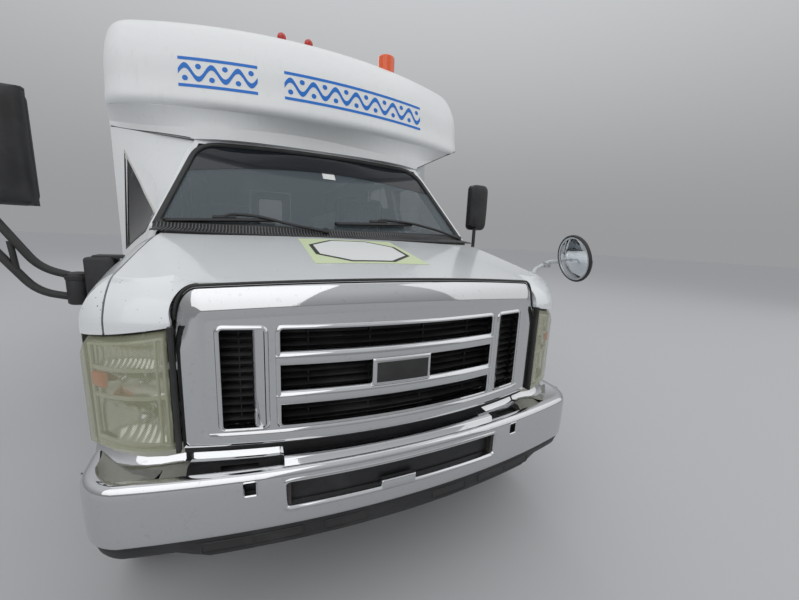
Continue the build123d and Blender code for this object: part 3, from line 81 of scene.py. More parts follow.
class TruckColours(bpy.types.PropertyGroup):
    """Colours of the finishes, all linear."""

    paint: bpy.props.FloatVectorProperty(
        name="Paint", description="Enamel of the cab", default=(0.78, 0.80, 0.81), size=3, subtype="COLOR", min=0,
        max=1)
    gelcoat: bpy.props.FloatVectorProperty(
        name="Gelcoat", description="Moulded cap and roof", default=(0.80, 0.81, 0.81), size=3, subtype="COLOR", min=0,
        max=1)
    ornament: bpy.props.FloatVectorProperty(
        name="Ornament", description="Blue vinyl on the cap", default=(0.004, 0.15, 0.60), size=3, subtype="COLOR",
        min=0, max=1)
    backdrop: bpy.props.FloatVectorProperty(
        name="Backdrop", description="Floor and background", default=(0.50, 0.505, 0.515), size=3, subtype="COLOR",
        min=0, max=1)


class TruckCamera(bpy.types.PropertyGroup):
    """The photograph's viewpoint."""

    place: bpy.props.FloatVectorProperty(
        name="Place", description="Where the lens is", default=(-0.465, -4.474, 1.384), size=3, subtype="TRANSLATION",
        unit="LENGTH")
    heading: bpy.props.FloatProperty(
        name="Heading", description="Turn to the driver's side from straight back along the truck",
        default=math.radians(24.117), subtype="ANGLE")
    dip: bpy.props.FloatProperty(
        name="Dip", description="Angle below the horizon", default=math.radians(10.236), subtype="ANGLE")
    roll: bpy.props.FloatProperty(
        name="Roll", description="Tilt about the line of sight", default=math.radians(2.586), subtype="ANGLE")
    lens: bpy.props.FloatProperty(
        name="Lens", description="Focal length in millimetres on a 36 mm frame", default=15.33, min=8, max=200)


# Shader expressions

class Value:
    """A node's output, which Python's operators join to others with Math nodes."""

    def __init__(self, network, socket):
        self.network = network
        self.socket = socket

    def math(self, operation, *terms):
        """A Math node on the terms."""
        return self.network.node("ShaderNodeMath", {"operation": operation}, dict(enumerate(terms)))

    def __add__(self, other):
        return self.math("ADD", self, other)

    def __radd__(self, other):
        return self.math("ADD", other, self)

    def __sub__(self, other):
        return self.math("SUBTRACT", self, other)

    def __rsub__(self, other):
        return self.math("SUBTRACT", other, self)

    def __mul__(self, other):
        return self.math("MULTIPLY", self, other)

    def wave(self):
        return self.math("SINE", self)


class Network:
    """The nodes that lead to one shader of a material or of the world."""

    def __init__(self, tree, shader):
        self.tree = tree
        self.shader = tree.nodes[shader]

    def set(self, **sockets):
        """Constants or values for the shader's sockets, whose names have _ for a space."""
        for key, value in sockets.items():
            self.plug(self.shader.inputs[key.replace("_", " ")], value)

    def plug(self, socket, value):
        """A link or a constant for one socket."""
        if isinstance(value, Value):
            self.tree.links.new(value.socket, socket)
        elif socket.type == "RGBA" and len(value) == 3:
            socket.default_value = (*value, 1)
        else:
            socket.default_value = value

    def node(self, kind, settings, inputs, output=0):
        """A node of that kind: its settings first, then the values or links of its sockets."""
        made = self.tree.nodes.new(kind)
        for key, value in settings.items():
            setattr(made, key, value)
        for key, value in inputs.items():
            self.plug(made.inputs[key], value)
        return Value(self, made.outputs[output])

    def place(self):
        """The point on the piece, in metres."""
        return self.node("ShaderNodeTexCoord", {}, {}, "Object")

    def axis(self, name, place=None):
        """One coordinate of the point on the piece, or of another place."""
        return self.node("ShaderNodeSeparateXYZ", {}, {0: place or self.place()}, name)

    def stretched(self, x, y, z):
        """The point on the piece with each axis scaled."""
        return self.node("ShaderNodeVectorMath", {"operation": "MULTIPLY"}, {0: self.place(), 1: (x, y, z)})

    def noise(self, scale, detail, rough=0.55, place=None):
        """Cloudy values about 0.5."""
        inputs = {"Vector": place or self.place(), "Scale": scale, "Detail": detail, "Roughness": rough}
        return self.node("ShaderNodeTexNoise", {}, inputs)

    def cells(self, scale):
        """Distance to the nearest of scattered points."""
        return self.node("ShaderNodeTexVoronoi", {}, {"Vector": self.place(), "Scale": scale})

    def band(self, value, low, high):
        """0 below low, 1 above high, smooth between."""
        inputs = {"Value": value, "From Min": low, "From Max": high}
        return self.node("ShaderNodeMapRange", {"interpolation_type": "SMOOTHSTEP"}, inputs)

    def mix(self, share, first, second):
        """A colour between two."""
        made = self.node("ShaderNodeMix", {"data_type": "RGBA"}, {0: share}, 2)
        node = made.socket.node
        self.plug(node.inputs[6], first)
        self.plug(node.inputs[7], second)
        return made

    def bump(self, height, depth):
        """A normal from a height of 0 to 1 that stands for depth metres."""
        return self.node("ShaderNodeBump", {}, {"Height": height, "Distance": depth, "Strength": 1.0})


class Finish(Network):
    """A material under construction, with one shader."""

    made = {}

    def __init__(self, name, **constants):
        self.material = bpy.data.materials.new(name)
        self.material.use_nodes = True
        super().__init__(self.material.node_tree, "Principled BSDF")
        self.set(**constants)
        Finish.made[name] = self.material


# Finishes

def road_film(f, top, reach):
    """Dust that thickens towards the ground, as a mask."""
    height = f.axis("Z")
    uneven = f.noise(3.0, 4)
    return (1 - f.band(height + (uneven - 0.5) * 0.35, top - reach, top)) * (0.35 + f.noise(28.0, 4) * 0.5)


def enamel(name, colour, chips):
    """Gloss paint with orange peel, a road film low down and chips where stones hit it."""
    f = Finish(name, Specular_IOR_Level=0.5, IOR=1.5, Coat_Roughness=0.06)
    film = road_film(f, 1.25, 0.9)
    tone = f.mix(f.noise(1.6, 2) * 0.25, colour, (0.70, 0.73, 0.76))
    dusty = f.mix(film * 0.55, tone, (0.42, 0.39, 0.34))
    if chips:
        front = 1 - f.band(f.axis("Y"), NOSE - 0.02, NOSE + 0.42)
        sparse = f.noise(9.0, 2)
        spots = f.band(f.noise(95.0, 2, 0.5), 0.715, 0.735) * f.band(sparse + front * 0.22, 0.66, 0.74)
        dusty = f.mix(spots, dusty, (0.05, 0.05, 0.055))
    f.set(Base_Color=dusty, Roughness=0.22 + film * 0.4, Coat_Weight=0.6 - film * 0.5)
    f.set(Normal=f.bump(f.noise(420.0, 1), 0.00012))


def gelcoat(name, colour):
    """Moulded glass fibre skin: chalked, with rain streaks and a slight print-through."""
    f = Finish(name, Specular_IOR_Level=0.5, IOR=1.48, Coat_Roughness=0.18)
    streaks = f.band(f.noise(5.0, 5, 0.6, f.stretched(7.0, 7.0, 0.9)), 0.52, 0.75)
    chalk = f.noise(2.2, 4)
    tone = f.mix(chalk * 0.3, colour, (0.72, 0.74, 0.76))
    tone = f.mix(streaks * 0.16, tone, (0.50, 0.49, 0.45))
    f.set(Base_Color=tone, Roughness=0.34 + chalk * 0.2, Coat_Weight=0.35 - streaks * 0.2)
    f.set(Normal=f.bump(f.noise(6.0, 2) * 0.7 + f.noise(240.0, 1) * 0.05, 0.0008))


def bright_chrome():
    """Plated chrome with water spots and fine pits."""
    f = Finish("chrome", Metallic=1.0, Specular_IOR_Level=0.5)
    spots = f.band(f.noise(55.0, 4, 0.6), 0.58, 0.72)
    pits = f.band(f.noise(300.0, 2), 0.74, 0.77)
    tone = f.mix(spots * 0.3, (0.62, 0.625, 0.635), (0.45, 0.44, 0.42))
    f.set(Base_Color=f.mix(pits, tone, (0.20, 0.17, 0.14)), Roughness=0.045 + spots * 0.12 + pits * 0.3)
    f.set(Normal=f.bump(f.noise(7.0, 1), 0.0006))


def weathered_plastic(name, colour, worn, grain=900.0):
    """Grained plastic, greyed where the sun and rain reach it."""
    f = Finish(name, IOR=1.48)
    fade = f.band(f.noise(6.0, 5, 0.6), 0.42, 0.70)
    dust = f.noise(60.0, 4)
    f.set(Base_Color=f.mix(fade * 0.6 + dust * 0.15, colour, worn), Roughness=0.48 + fade * 0.2)
    f.set(Normal=f.bump(f.cells(grain), 0.00015))


def clear_glass(name, tint, alpha):
    """Window glass that reflects and lets a tinted view through."""
    f = Finish(name, Roughness=0.02, IOR=1.5, Specular_IOR_Level=0.6)
    smear = f.noise(4.0, 5, 0.65)
    f.set(Base_Color=tint, Alpha=alpha + f.band(smear, 0.5, 0.8) * 0.08)
    f.material.surface_render_method = "DITHERED"


def coated_steel(name, colour, rust):
    """Painted chassis steel with rust freckles and dried mud."""
    f = Finish(name, IOR=1.5)
    freckles = f.band(f.noise(34.0, 5, 0.62), 0.60 - rust * 0.1, 0.72)
    mud = f.band(f.noise(4.0, 5, 0.6), 0.45, 0.75)
    tone = f.mix(mud * 0.5, colour, (0.17, 0.145, 0.12))
    f.set(Base_Color=f.mix(freckles * rust, tone, (0.19, 0.075, 0.03)), Roughness=0.5 + mud * 0.3, Metallic=0.1)
    f.set(Normal=f.bump(f.noise(80.0, 3), 0.0006))


def bare_metal(name, colour, rough):
    """Mill finish metal, brushed along the truck."""
    f = Finish(name, Metallic=1.0)
    brushed = f.noise(60.0, 3, 0.6, f.stretched(8.0, 0.3, 8.0))
    cloud = f.noise(5.0, 4)
    f.set(Base_Color=f.mix(cloud * 0.5, colour, tuple(0.7 * c for c in colour)), Roughness=rough + brushed * 0.15)
    f.set(Normal=f.bump(brushed, 0.0001))


def rubber(name, colour):
    """Tyre rubber with a brown bloom and dust in the grooves."""
    f = Finish(name, IOR=1.5)
    bloom = f.noise(7.0, 5, 0.6)
    f.set(Base_Color=f.mix(bloom * 0.7, colour, (0.075, 0.065, 0.055)), Roughness=0.72 + bloom * 0.15)
    f.set(Normal=f.bump(f.noise(300.0, 3), 0.0004))


def woven_cloth(name, colour):
    """Flat woven seat cloth."""
    f = Finish(name, Sheen_Weight=0.3)
    worn = f.noise(12.0, 3)
    f.set(Base_Color=f.mix(worn * 0.4, colour, tuple(0.45 * c for c in colour)), Roughness=0.85 + worn * 0.1)
    f.set(Normal=f.bump(f.noise(260.0, 2), 0.0002))


def lens(name, colour, alpha):
    """Moulded lamp lens, with prisms inside."""
    f = Finish(name, Roughness=0.12, IOR=1.49, Coat_Roughness=0.03)
    prisms = (f.axis("Z") * 900.0).wave() * (f.axis("X") * 900.0).wave() * 0.5 + 0.5
    f.set(Base_Color=f.mix(prisms * 0.35, colour, tuple(0.4 * c for c in colour)), Alpha=alpha, Coat_Weight=0.7)
    f.set(Normal=f.bump(prisms, 0.0008))


def floor_covering():
    """Grey ribbed floor covering, trodden dirty."""
    f = Finish("floor_grey")
    ribs = (f.axis("X") * 500.0).wave() * 0.5 + 0.5
    dirt = f.noise(3.0, 5, 0.6)
    f.set(Base_Color=f.mix(dirt * 0.6, (0.20, 0.20, 0.21), (0.10, 0.09, 0.08)), Roughness=0.75)
    f.set(Normal=f.bump(ribs, 0.0008))


def vinyl(name, colour, faded):
    """Thin sheet stuck on the paint, faded and scuffed."""
    f = Finish(name, IOR=1.46)
    fade = f.noise(9.0, 5, 0.6)
    scuffs = f.band(f.noise(70.0, 3, 0.5, f.stretched(1.0, 6.0, 1.0)), 0.66, 0.74)
    f.set(Base_Color=f.mix(fade * 0.5 + scuffs * 0.4, colour, faded), Roughness=0.38 + fade * 0.2)
    f.set(Normal=f.bump(f.noise(200.0, 2), 0.0001))


def silvered(name, colour, rough):
    """Mirror glass or a vapour-plated bowl, with a little dust."""
    f = Finish(name, Metallic=1.0)
    dust = f.noise(40.0, 4, 0.6)
    f.set(Base_Color=f.mix(dust * 0.3, colour, (0.45, 0.45, 0.43)), Roughness=rough + dust * 0.05)


def make_finishes():
    """Every finish that the CAD nodes and the trim take."""
    colours = bpy.context.scene.truck_colours
    enamel("white_paint", tuple(colours.paint), True)
    enamel("white_panel", (0.78, 0.79, 0.79), False)
    gelcoat("white_gelcoat", tuple(colours.gelcoat))
    bright_chrome()
    weathered_plastic("black_plastic", (0.012, 0.012, 0.013), (0.05, 0.05, 0.052))
    weathered_plastic("grey_plastic", (0.10, 0.10, 0.105), (0.16, 0.16, 0.16))
    weathered_plastic("black_trim", (0.02, 0.02, 0.02), (0.05, 0.05, 0.05), 300.0)
    clear_glass("glass", (0.13, 0.165, 0.185), 0.40)
    coated_steel("frame_black", (0.025, 0.025, 0.025), 0.4)
    coated_steel("axle_black", (0.03, 0.03, 0.03), 0.8)
    coated_steel("tank_black", (0.03, 0.03, 0.03), 0.2)
    coated_steel("engine_iron", (0.16, 0.16, 0.17), 0.6)
    coated_steel("wheel_steel", (0.45, 0.46, 0.47), 0.3)
    bare_metal("exhaust_steel", (0.42, 0.38, 0.33), 0.4)
    bare_metal("bare_aluminium", (0.66, 0.67, 0.68), 0.34)
    bare_metal("steel_sheet", (0.60, 0.61, 0.62), 0.28)
    rubber("tyre", (0.022, 0.022, 0.023))
    woven_cloth("seat_fabric", (0.150, 0.157, 0.170))
    lens("lamp_lens", (0.50, 0.51, 0.33), 0.50)
    lens("red_lens", (0.60, 0.02, 0.01), 1.0)
    lens("amber_lens", (0.92, 0.11, 0.004), 1.0)
    floor_covering()
    vinyl("decal_green", (0.62, 0.72, 0.42), (0.66, 0.72, 0.55))
    vinyl("decal_white", (0.78, 0.79, 0.78), (0.70, 0.71, 0.69))
    vinyl("decal_black", (0.02, 0.02, 0.02), (0.07, 0.07, 0.07))
    vinyl("ornament_blue", tuple(colours.ornament), (0.02, 0.21, 0.60))
    weathered_plastic("lamp_frame", (0.62, 0.62, 0.54), (0.45, 0.44, 0.36))
    vinyl("plate_blank", (0.70, 0.71, 0.70), (0.60, 0.60, 0.58))
    weathered_plastic("sealant", (0.60, 0.60, 0.58), (0.40, 0.39, 0.36), 200.0)
    weathered_plastic("mirror_arm", (0.60, 0.62, 0.64), (0.45, 0.46, 0.47), 300.0)
    silvered("reflector", (0.80, 0.80, 0.76), 0.12)
    silvered("mirror_glass", (0.80, 0.84, 0.88), 0.015)
    clear_glass("tint_band", (0.006, 0.008, 0.012), 0.93)
    clear_glass("dark_film", (0.006, 0.006, 0.007), 0.95)


def dress_frame():
    """Give each CAD node the finish of its slot in the record."""
    slots = {part["node"]: part["material_slot"] for part in frame["record"]["subparts"]}
    for name, obj in frame["nodes"].items():
        obj.data.materials.clear()
        obj.data.materials.append(Finish.made[slots[name]])


# Meshes

def empty_into(whole, part):
    """Move what a mesh under construction holds into another."""
    carrier = bpy.data.meshes.new("carrier")
    part.to_mesh(carrier)
    part.free()
    whole.from_mesh(carrier)
    bpy.data.meshes.remove(carrier)


class Form:
    """One piece under construction, from parts with a finish each."""

    def __init__(self, name):
        self.name = name
        self.whole = bmesh.new()
        self.finishes = []

    def add(self, finish, part):
        """Take over a part, which then shows that finish."""
        if finish not in self.finishes:
            self.finishes.append(finish)
        for face in part.faces:
            face.material_index = self.finishes.index(finish)
        empty_into(self.whole, part)

    def done(self, body=TRUCK, replaces=(), crease=32.0):
        """Make the object, smooth but for its creases."""
        mesh = bpy.data.meshes.new(self.name)
        bmesh.ops.recalc_face_normals(self.whole, faces=self.whole.faces)
        self.whole.to_mesh(mesh)
        self.whole.free()
        mesh.shade_smooth()
        mesh.set_sharp_from_angle(angle=math.radians(crease))
        for finish in self.finishes:
            mesh.materials.append(Finish.made[finish])
        obj = bpy.data.objects.new(self.name, mesh)
        bpy.context.scene.collection.objects.link(obj)
        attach(obj, body)
        for node in replaces:
            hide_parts(node)


def skin(rings, closed=True, ends=True):
    """Surface through rings of points that have the same count; open rings give a sheet."""
    part = bmesh.new()
    rows = [[part.verts.new(point) for point in ring] for ring in rings]
    count = len(rows[0])
    for low, high in zip(rows, rows[1:]):
        for i in range(count if closed else count - 1):
            j = (i + 1) % count
            part.faces.new((low[i], low[j], high[j], high[i]))
    if closed and ends:
        part.faces.new(rows[0])
        part.faces.new(rows[-1])
    return part


def grid(us, vs, place, leave_out=None):
    """Sheet over two lists of steps, with the cells that leave_out names missing."""
    part = bmesh.new()
    rows = [[part.verts.new(place(u, v)) for u in us] for v in vs]
    for j in range(len(vs) - 1):
        for i in range(len(us) - 1):
            middle = ((us[i] + us[i + 1]) / 2, (vs[j] + vs[j + 1]) / 2)
            if leave_out is None or not leave_out(*middle):
                part.faces.new((rows[j][i], rows[j][i + 1], rows[j + 1][i + 1], rows[j + 1][i]))
    return part


def steps(*stops, most=0.05):
    """Numbers from the first stop to the last, through each stop, at most that far apart."""
    line = [stops[0]]
    for low, high in zip(stops, stops[1:]):
        count = max(1, math.ceil((high - low) / most - 1e-6))
        line += [low + (high - low) * (i + 1) / count for i in range(count)]
    return line


def pillow(us, vs, place, roll, deep):
    """Sheet whose edges roll back and run deep: place takes u, v and a depth."""
    def inward(line):
        low, high = line[0], line[-1]
        near = [roll * share for share in (0, 0.12, 0.4, 1.0)]
        between = [a for a in line if low + roll * 1.2 < a < high - roll * 1.2]
        return [low + d for d in near] + between + [high - d for d in reversed(near)]

    def sink(a, line):
        edge = min(a - line[0], line[-1] - a) / roll
        return roll * (1 - math.sqrt(max(0.0, 1 - max(0.0, 1 - edge) ** 2)))

    columns, rows = inward(us), inward(vs)
    part = grid(columns, rows, lambda u, v: place(u, v, max(sink(u, columns), sink(v, rows))))
    around = [(u, rows[0]) for u in columns] + [(columns[-1], v) for v in rows[1:]]
    around += [(u, rows[-1]) for u in reversed(columns[:-1])] + [(columns[0], v) for v in reversed(rows[1:-1])]
    empty_into(part, skin([[place(u, v, roll) for u, v in around], [place(u, v, deep) for u, v in around]], ends=False))
    bmesh.ops.remove_doubles(part, verts=part.verts, dist=1e-5)
    return part


def sweep(path, section, up, closed=False, sheet=False):
    """A section of (side, up) points carried along a path, mitred at its bends."""
    rings = []
    count = len(path)
    for i, point in enumerate(path):
        before = path[i - 1] if closed or i else None
        after = path[(i + 1) % count] if closed or i + 1 < count else None
        into = (point - before).normalized() if before is not None else (after - point).normalized()
        out = (after - point).normalized() if after is not None else into
        along = (into + out).normalized()
        top = up(point) if callable(up) else Vector(up)
        side = along.cross(top).normalized()
        top = side.cross(along).normalized()
        spread = 1 / max(0.4, along.dot(into))
        rings.append([point + side * (a * spread) + top * b for a, b in section])
    if closed:
        rings.append(rings[0])
    return skin(rings, closed=not sheet, ends=not closed and not sheet)


def circle(radius, count=12):
    """A round section."""
    turns = [2 * math.pi * i / count for i in range(count)]
    return [(radius * math.cos(a), radius * math.sin(a)) for a in turns]


def oblong(half_width, half_height, bevel):
    """A rectangular section with cut corners."""
    w, h, b = half_width, half_height, bevel
    return [(w - b, -h), (w, b - h), (w, h - b), (w - b, h), (b - w, h), (-w, h - b), (-w, b - h), (b - w, -h)]


def bar(path, radius):
    """Round bar or tube along a path, without twist."""
    tangents = [(b - a).normalized() for a, b in zip(path, path[1:])]
    tangents = [tangents[0]] + [(a + b).normalized() for a, b in zip(tangents, tangents[1:])] + [tangents[-1]]
    across = tangents[0].orthogonal().normalized()
    rings = []
    for i, (point, along) in enumerate(zip(path, tangents)):
        if i:
            across = tangents[i - 1].rotation_difference(along) @ across
        other = along.cross(across)
        rings.append([point + across * a + other * b for a, b in circle(radius)])
    return skin(rings)


def bend(path, radius, count=6):
    """The path with its corners rounded."""
    rounded = [path[0]]
    for before, corner, after in zip(path, path[1:], path[2:]):
        reach = min(radius, (corner - before).length * 0.48, (after - corner).length * 0.48)
        start = corner + (before - corner).normalized() * reach
        end = corner + (after - corner).normalized() * reach
        for i in range(count + 1):
            t = i / count
            rounded.append(start * (1 - t) ** 2 + corner * (2 * t * (1 - t)) + end * t ** 2)
    return rounded + [path[-1]]


def loop_bend(path, radius):
    """A closed path with its corners rounded."""
    closed = [(path[-1] + path[0]) / 2, *path, (path[-1] + path[0]) / 2]
    return bend(closed, radius, 5)[1:]


def arc(start, through, end, count):
    """Points along the circle through three points."""
    a, b = through - start, end - start
    normal = a.cross(b)
    across = normal.cross(a) * b.length_squared + b.cross(normal) * a.length_squared
    centre = start + across / (2 * normal.length_squared)
    first = start - centre
    other = normal.normalized().cross(first)

    def turn(point):
        return math.atan2((point - centre).dot(other), (point - centre).dot(first)) % (2 * math.pi)

    total = turn(end) if turn(through) < turn(end) else turn(end) - 2 * math.pi
    return [
        centre + first * math.cos(total * i / count) + other * math.sin(total * i / count) for i in range(count + 1)]


def dense(outline, most):
    """The outline with its long sides divided."""
    points = []
    for a, b in zip(outline, outline[1:] + outline[:1]):
        count = max(1, math.ceil(math.dist(a, b) / most - 1e-6))
        points += [tuple(p + (q - p) * i / count for p, q in zip(a, b)) for i in range(count)]
    return points


def round_rect(x0, x1, z0, z1, radius, most=0.05):
    """Outline of a rectangle with round corners, anticlockwise."""
    points = []
    for x, z, start in (
        (x1 - radius, z0 + radius, -90), (x1 - radius, z1 - radius, 0), (x0 + radius, z1 - radius, 90),
        (x0 + radius, z0 + radius, 180)):
        for k in range(4):
            a = math.radians(start + k * 30)
            points.append((x + radius * math.cos(a), z + radius * math.sin(a)))
    return dense(points, most)


def patch(outline, place, rings):
    """Thin sheet inside an outline, which place lays on a surface."""
    middle = [sum(p[k] for p in outline) / len(outline) for k in (0, 1)]
    layers = []
    for i in range(rings):
        share = 1 - i / rings
        layers.append([place(*(middle[k] + (p[k] - middle[k]) * share for k in (0, 1))) for p in outline])
    part = skin(layers, ends=False)
    part.verts.ensure_lookup_table()
    part.faces.new(part.verts[-len(outline):])
    return part


def lathe(profile, centre, axis, count):
    """Profile of (along, radius) points turned about an axis; one that never meets the axis stays a ring."""
    axis = Vector(axis).normalized()
    across = axis.orthogonal().normalized()
    other = axis.cross(across)
    rings = []
    for along, radius in profile:
        turn = [2 * math.pi * i / count for i in range(count)]
        rings.append([
            Vector(centre) + axis * along + (across * math.cos(a) + other * math.sin(a)) * max(radius, 1e-5)
            for a in turn])
    return skin(rings, ends=0.0 in (profile[0][1], profile[-1][1]))


def rounded_box(low, high, bevel, count=2):
    """Box with round edges."""
    part = bmesh.new()
    bmesh.ops.create_cube(part, size=1)
    for vert in part.verts:
        for k in range(3):
            vert.co[k] = low[k] if vert.co[k] < 0 else high[k]
    bmesh.ops.bevel(part, geom=part.edges[:], offset=bevel, segments=count, affect="EDGES", profile=0.5)
    return part


def tree_of(*nodes):
    """A search tree over the surfaces of CAD nodes."""
    points, faces = [], []
    for node in nodes:
        obj = frame["nodes"][node]
        start = len(points)
        points += [obj.matrix_world @ vert.co for vert in obj.data.vertices]
        faces += [tuple(start + i for i in face.vertices) for face in obj.data.polygons]
    return BVHTree.FromPolygons(points, faces)


class Drape:
    """Lays flat work on CAD surfaces, a lift away from them."""

    def __init__(self, direction, lift, *nodes):
        self.tree = tree_of(*nodes)
        self.direction = Vector(direction).normalized()
        self.lift = lift

    def __call__(self, point):
        start = point - self.direction * 1.5
        place, normal, _, _ = self.tree.ray_cast(start, self.direction)
        if place is None:
            raise ValueError(f"nothing under {tuple(point)}")
        if normal.dot(self.direction) > 0:
            normal = -normal
        return place + normal * self.lift


# Nose

# Inset, then the depth of the chrome at its sides and at its top
GRILLE_RING = (
    (0.0, 0.036, 0.042), (0.0, 0.006, 0.034), (0.002, 0.0015, 0.029), (0.007, 0.0, 0.023), (0.022, 0.0, 0.0125),
    (0.036, 0.0005, 0.006), (0.050, 0.001, 0.0015), (0.0545, 0.001, 0.0005), (0.0575, 0.0015, 0.0015),
    (0.066, 0.003, 0.002), (0.074, 0.006, 0.006))
GRILLE_HALF = 0.660
PANEL_DEPTH = 0.006
OPENINGS = ((-0.390, 0.390), (0.428, 0.552), (-0.552, -0.428))
OPENING_Z = (0.798, 1.109)
GRILLE_BARS = ((0.992, 1.038), (0.865, 0.911))


def grille_front(x):
    """Station of the grille's bowed face."""
    return -0.090 + 0.096 * (x / GRILLE_HALF) ** 2


def grille_face(x, z, depth):
    """A point on the grille's face."""
    return at(x, grille_front(x) + depth, z)


def grille_ring(inset):
    """Front outline of the chrome, moved in."""
    half, low = GRILLE_HALF - inset, 0.745 + inset * 0.55
    top, middle = 1.225 - inset * 1.25, 1.248 - inset * 1.25
    round_x, round_z = max(0.012, 0.061 - inset * 0.8), max(0.014, 0.096 - inset)
    kink, flat = top - round_z, half - round_x
    right = [(half * i / 14, low) for i in range(14)]
    right += [(half, low + (kink - low) * i / 10) for i in range(10)]
    turns = [math.pi / 2 * i / 9 for i in range(9)]
    right += [(flat + round_x * math.cos(a), kink + round_z * math.sin(a)) for a in turns]
    right += [(flat * (1 - i / 20), top + (middle - top) * (1 - (1 - i / 20) ** 2)) for i in range(21)]
    return right + [(-x, z) for x, z in reversed(right[1:-1])]


def panel_top(x):
    """Height of the panel's upper edge."""
    return 1.1325 + 0.023 * (1 - min(1, abs(x) / 0.574) ** 2)


def opening_lip(x0, x1, z0, z1, face, section, radius=0.012):
    """Rolled edge round an opening in a face."""
    path = [face(x, z) for x, z in round_rect(x0, x1, z0, z1, radius)]
    return sweep(path, section, (0, -1, 0), closed=True, sheet=True)


def make_grille():
    """Chrome surround with its panel, rolled openings, two bars and a plain boss."""
    form = Form("grille_chrome")
    layers = []
    for inset, side_depth, top_depth in GRILLE_RING:
        blend = [(x, z, min(1, max(0, (z - 1.06) / 0.10))) for x, z in grille_ring(inset)]
        layers.append([
            grille_face(x, z, side_depth + (top_depth - side_depth) * share ** 2 * (3 - 2 * share))
            for x, z, share in blend])
    form.add("chrome", skin(layers, ends=False))
    low = 0.745 + 0.074 * 0.55
    rows = (lambda x: low, lambda x: OPENING_Z[0], lambda x: OPENING_Z[1], panel_top)

    def opened(x, row):
        return 1 < row < 2 and any(x0 < x < x1 for x0, x1 in OPENINGS)

    columns = steps(-0.586, -0.552, -0.428, -0.390, 0.390, 0.428, 0.552, 0.586)
    form.add("chrome", grid(columns, (0, 1, 2, 3), lambda x, row: grille_face(x, rows[row](x), PANEL_DEPTH), opened))
    rolled = ((0.011, -0.001), (0.008, 0.003), (0.003, 0.0055), (-0.002, 0.0035), (-0.004, -0.004), (-0.004, -0.022))
    for x0, x1 in OPENINGS:
        form.add("chrome", opening_lip(x0, x1, *OPENING_Z, lambda x, z: grille_face(x, z, PANEL_DEPTH), rolled))
    for side in (-1, 1):
        slope = [
            (side * x, depth)
            for x, depth in ((0.4325, 0.004), (0.440, 0.007), (0.461, 0.022), (0.464, 0.026), (0.465, 0.060))]
        form.add("chrome", skin(
            [[grille_face(x, z, depth) for x, depth in slope] for z in steps(*OPENING_Z, most=0.1)], closed=False))
    for z0, z1 in GRILLE_BARS:
        ring = ((0.034, z0), (0.010, z0), (0.004, z0 + 0.003), (0.001, z0 + 0.010), (0.0, z1 - 0.015),
                (0.003, z1 - 0.010), (0.012, z1 - 0.001), (0.016, z1), (0.034, z1))
        form.add("chrome", skin([
            [grille_face(x, z, depth) for depth, z in ring] for x in steps(-0.400, 0.400, most=0.04)]))
    form.add("chrome", pillow(
        steps(-0.108, 0.108), steps(0.903, 1.000), lambda x, z, d: grille_face(x, z, d - 0.006), 0.012, 0.030))
    form.add("black_trim", pillow(
        steps(-0.094, 0.094), steps(0.917, 0.986), lambda x, z, d: grille_face(x, z, d - 0.0075), 0.002, 0.008))
    form.done(replaces=("grille_surround",), crease=38)


def make_louvres():
    """Slats of the grille with round noses, and the ribs that hold them."""
    form = Form("grille_slats")
    for i in range(12):
        z = 0.806 + i * 0.0262
        section = (
            (0.072, z + 0.002), (0.074, z + 0.005), (0.072, z + 0.009), (0.046, z + 0.0045), (0.042, z + 0.002),
            (0.044, z))
        form.add("black_plastic", skin([
            [grille_face(x, h, depth) for depth, h in section] for x in steps(-0.552, 0.552)]))
    for x in (-0.500, -0.30, -0.10, 0.10, 0.30, 0.500):
        path = [grille_face(x, 0.800, 0.066), grille_face(x, 1.108, 0.066)]
        form.add("black_plastic", sweep(path, oblong(0.002, 0.010, 0.001), (0, -1, 0)))
    form.add("black_trim", grid(steps(-0.655, 0.655), (0.765, 0.95, 1.150), lambda x, z: grille_face(x, z, 0.098)))
    form.done(replaces=("grille_louvres",))


def make_nose_fill():
    """Panels in the gap over the bumper, the gaskets beside the lamps and the line under the hood."""
    form = Form("nose_fill")
    profile = ((0.0, 0.762), (0.010, 0.752), (0.014, 0.735), (0.020, 0.712), (0.034, 0.696))
    for finish, columns in (
        ("black_plastic", steps(-GRILLE_HALF, GRILLE_HALF)), ("lamp_frame", steps(GRILLE_HALF, 0.905)),
        ("lamp_frame", steps(-0.905, -GRILLE_HALF))):
        form.add(finish, grid(
            columns, range(len(profile)), lambda x, row: at(x, nose_front(x) + profile[row][0], profile[row][1])))
    for side in (-1, 1):
        path = [at(side * 0.6685, 0.002, z) for z in (0.742, 0.86, 0.98, 1.118)]
        form.add("black_trim", sweep(path, oblong(0.0065, 0.012, 0.003), (0, -1, 0)))
    shut_line = [grille_face(x, z, 0.030) for x, z in grille_ring(-0.0035) if z > 1.115]
    form.add("black_trim", sweep(shut_line, circle(0.0045), (0, -1, 0)))
    form.done()


LAMP_INNER, LAMP_OUTER = 0.676, 0.912
LAMP_POINTS = ((LAMP_INNER, 0.006), (0.825, 0.062), (LAMP_OUTER, 0.150))


def lamp_front(x):
    """Station of the headlamp's face at a width."""
    total = 0.0
    for i, (xi, yi) in enumerate(LAMP_POINTS):
        share = yi
        for j, (xj, _) in enumerate(LAMP_POINTS):
            if i != j:
                share *= (x - xj) / (xi - xj)
        total += share
    return total


def lamp_top(x):
    """Height of the headlamp's upper edge."""
    return 1.106 - 0.157 * (x - LAMP_INNER)


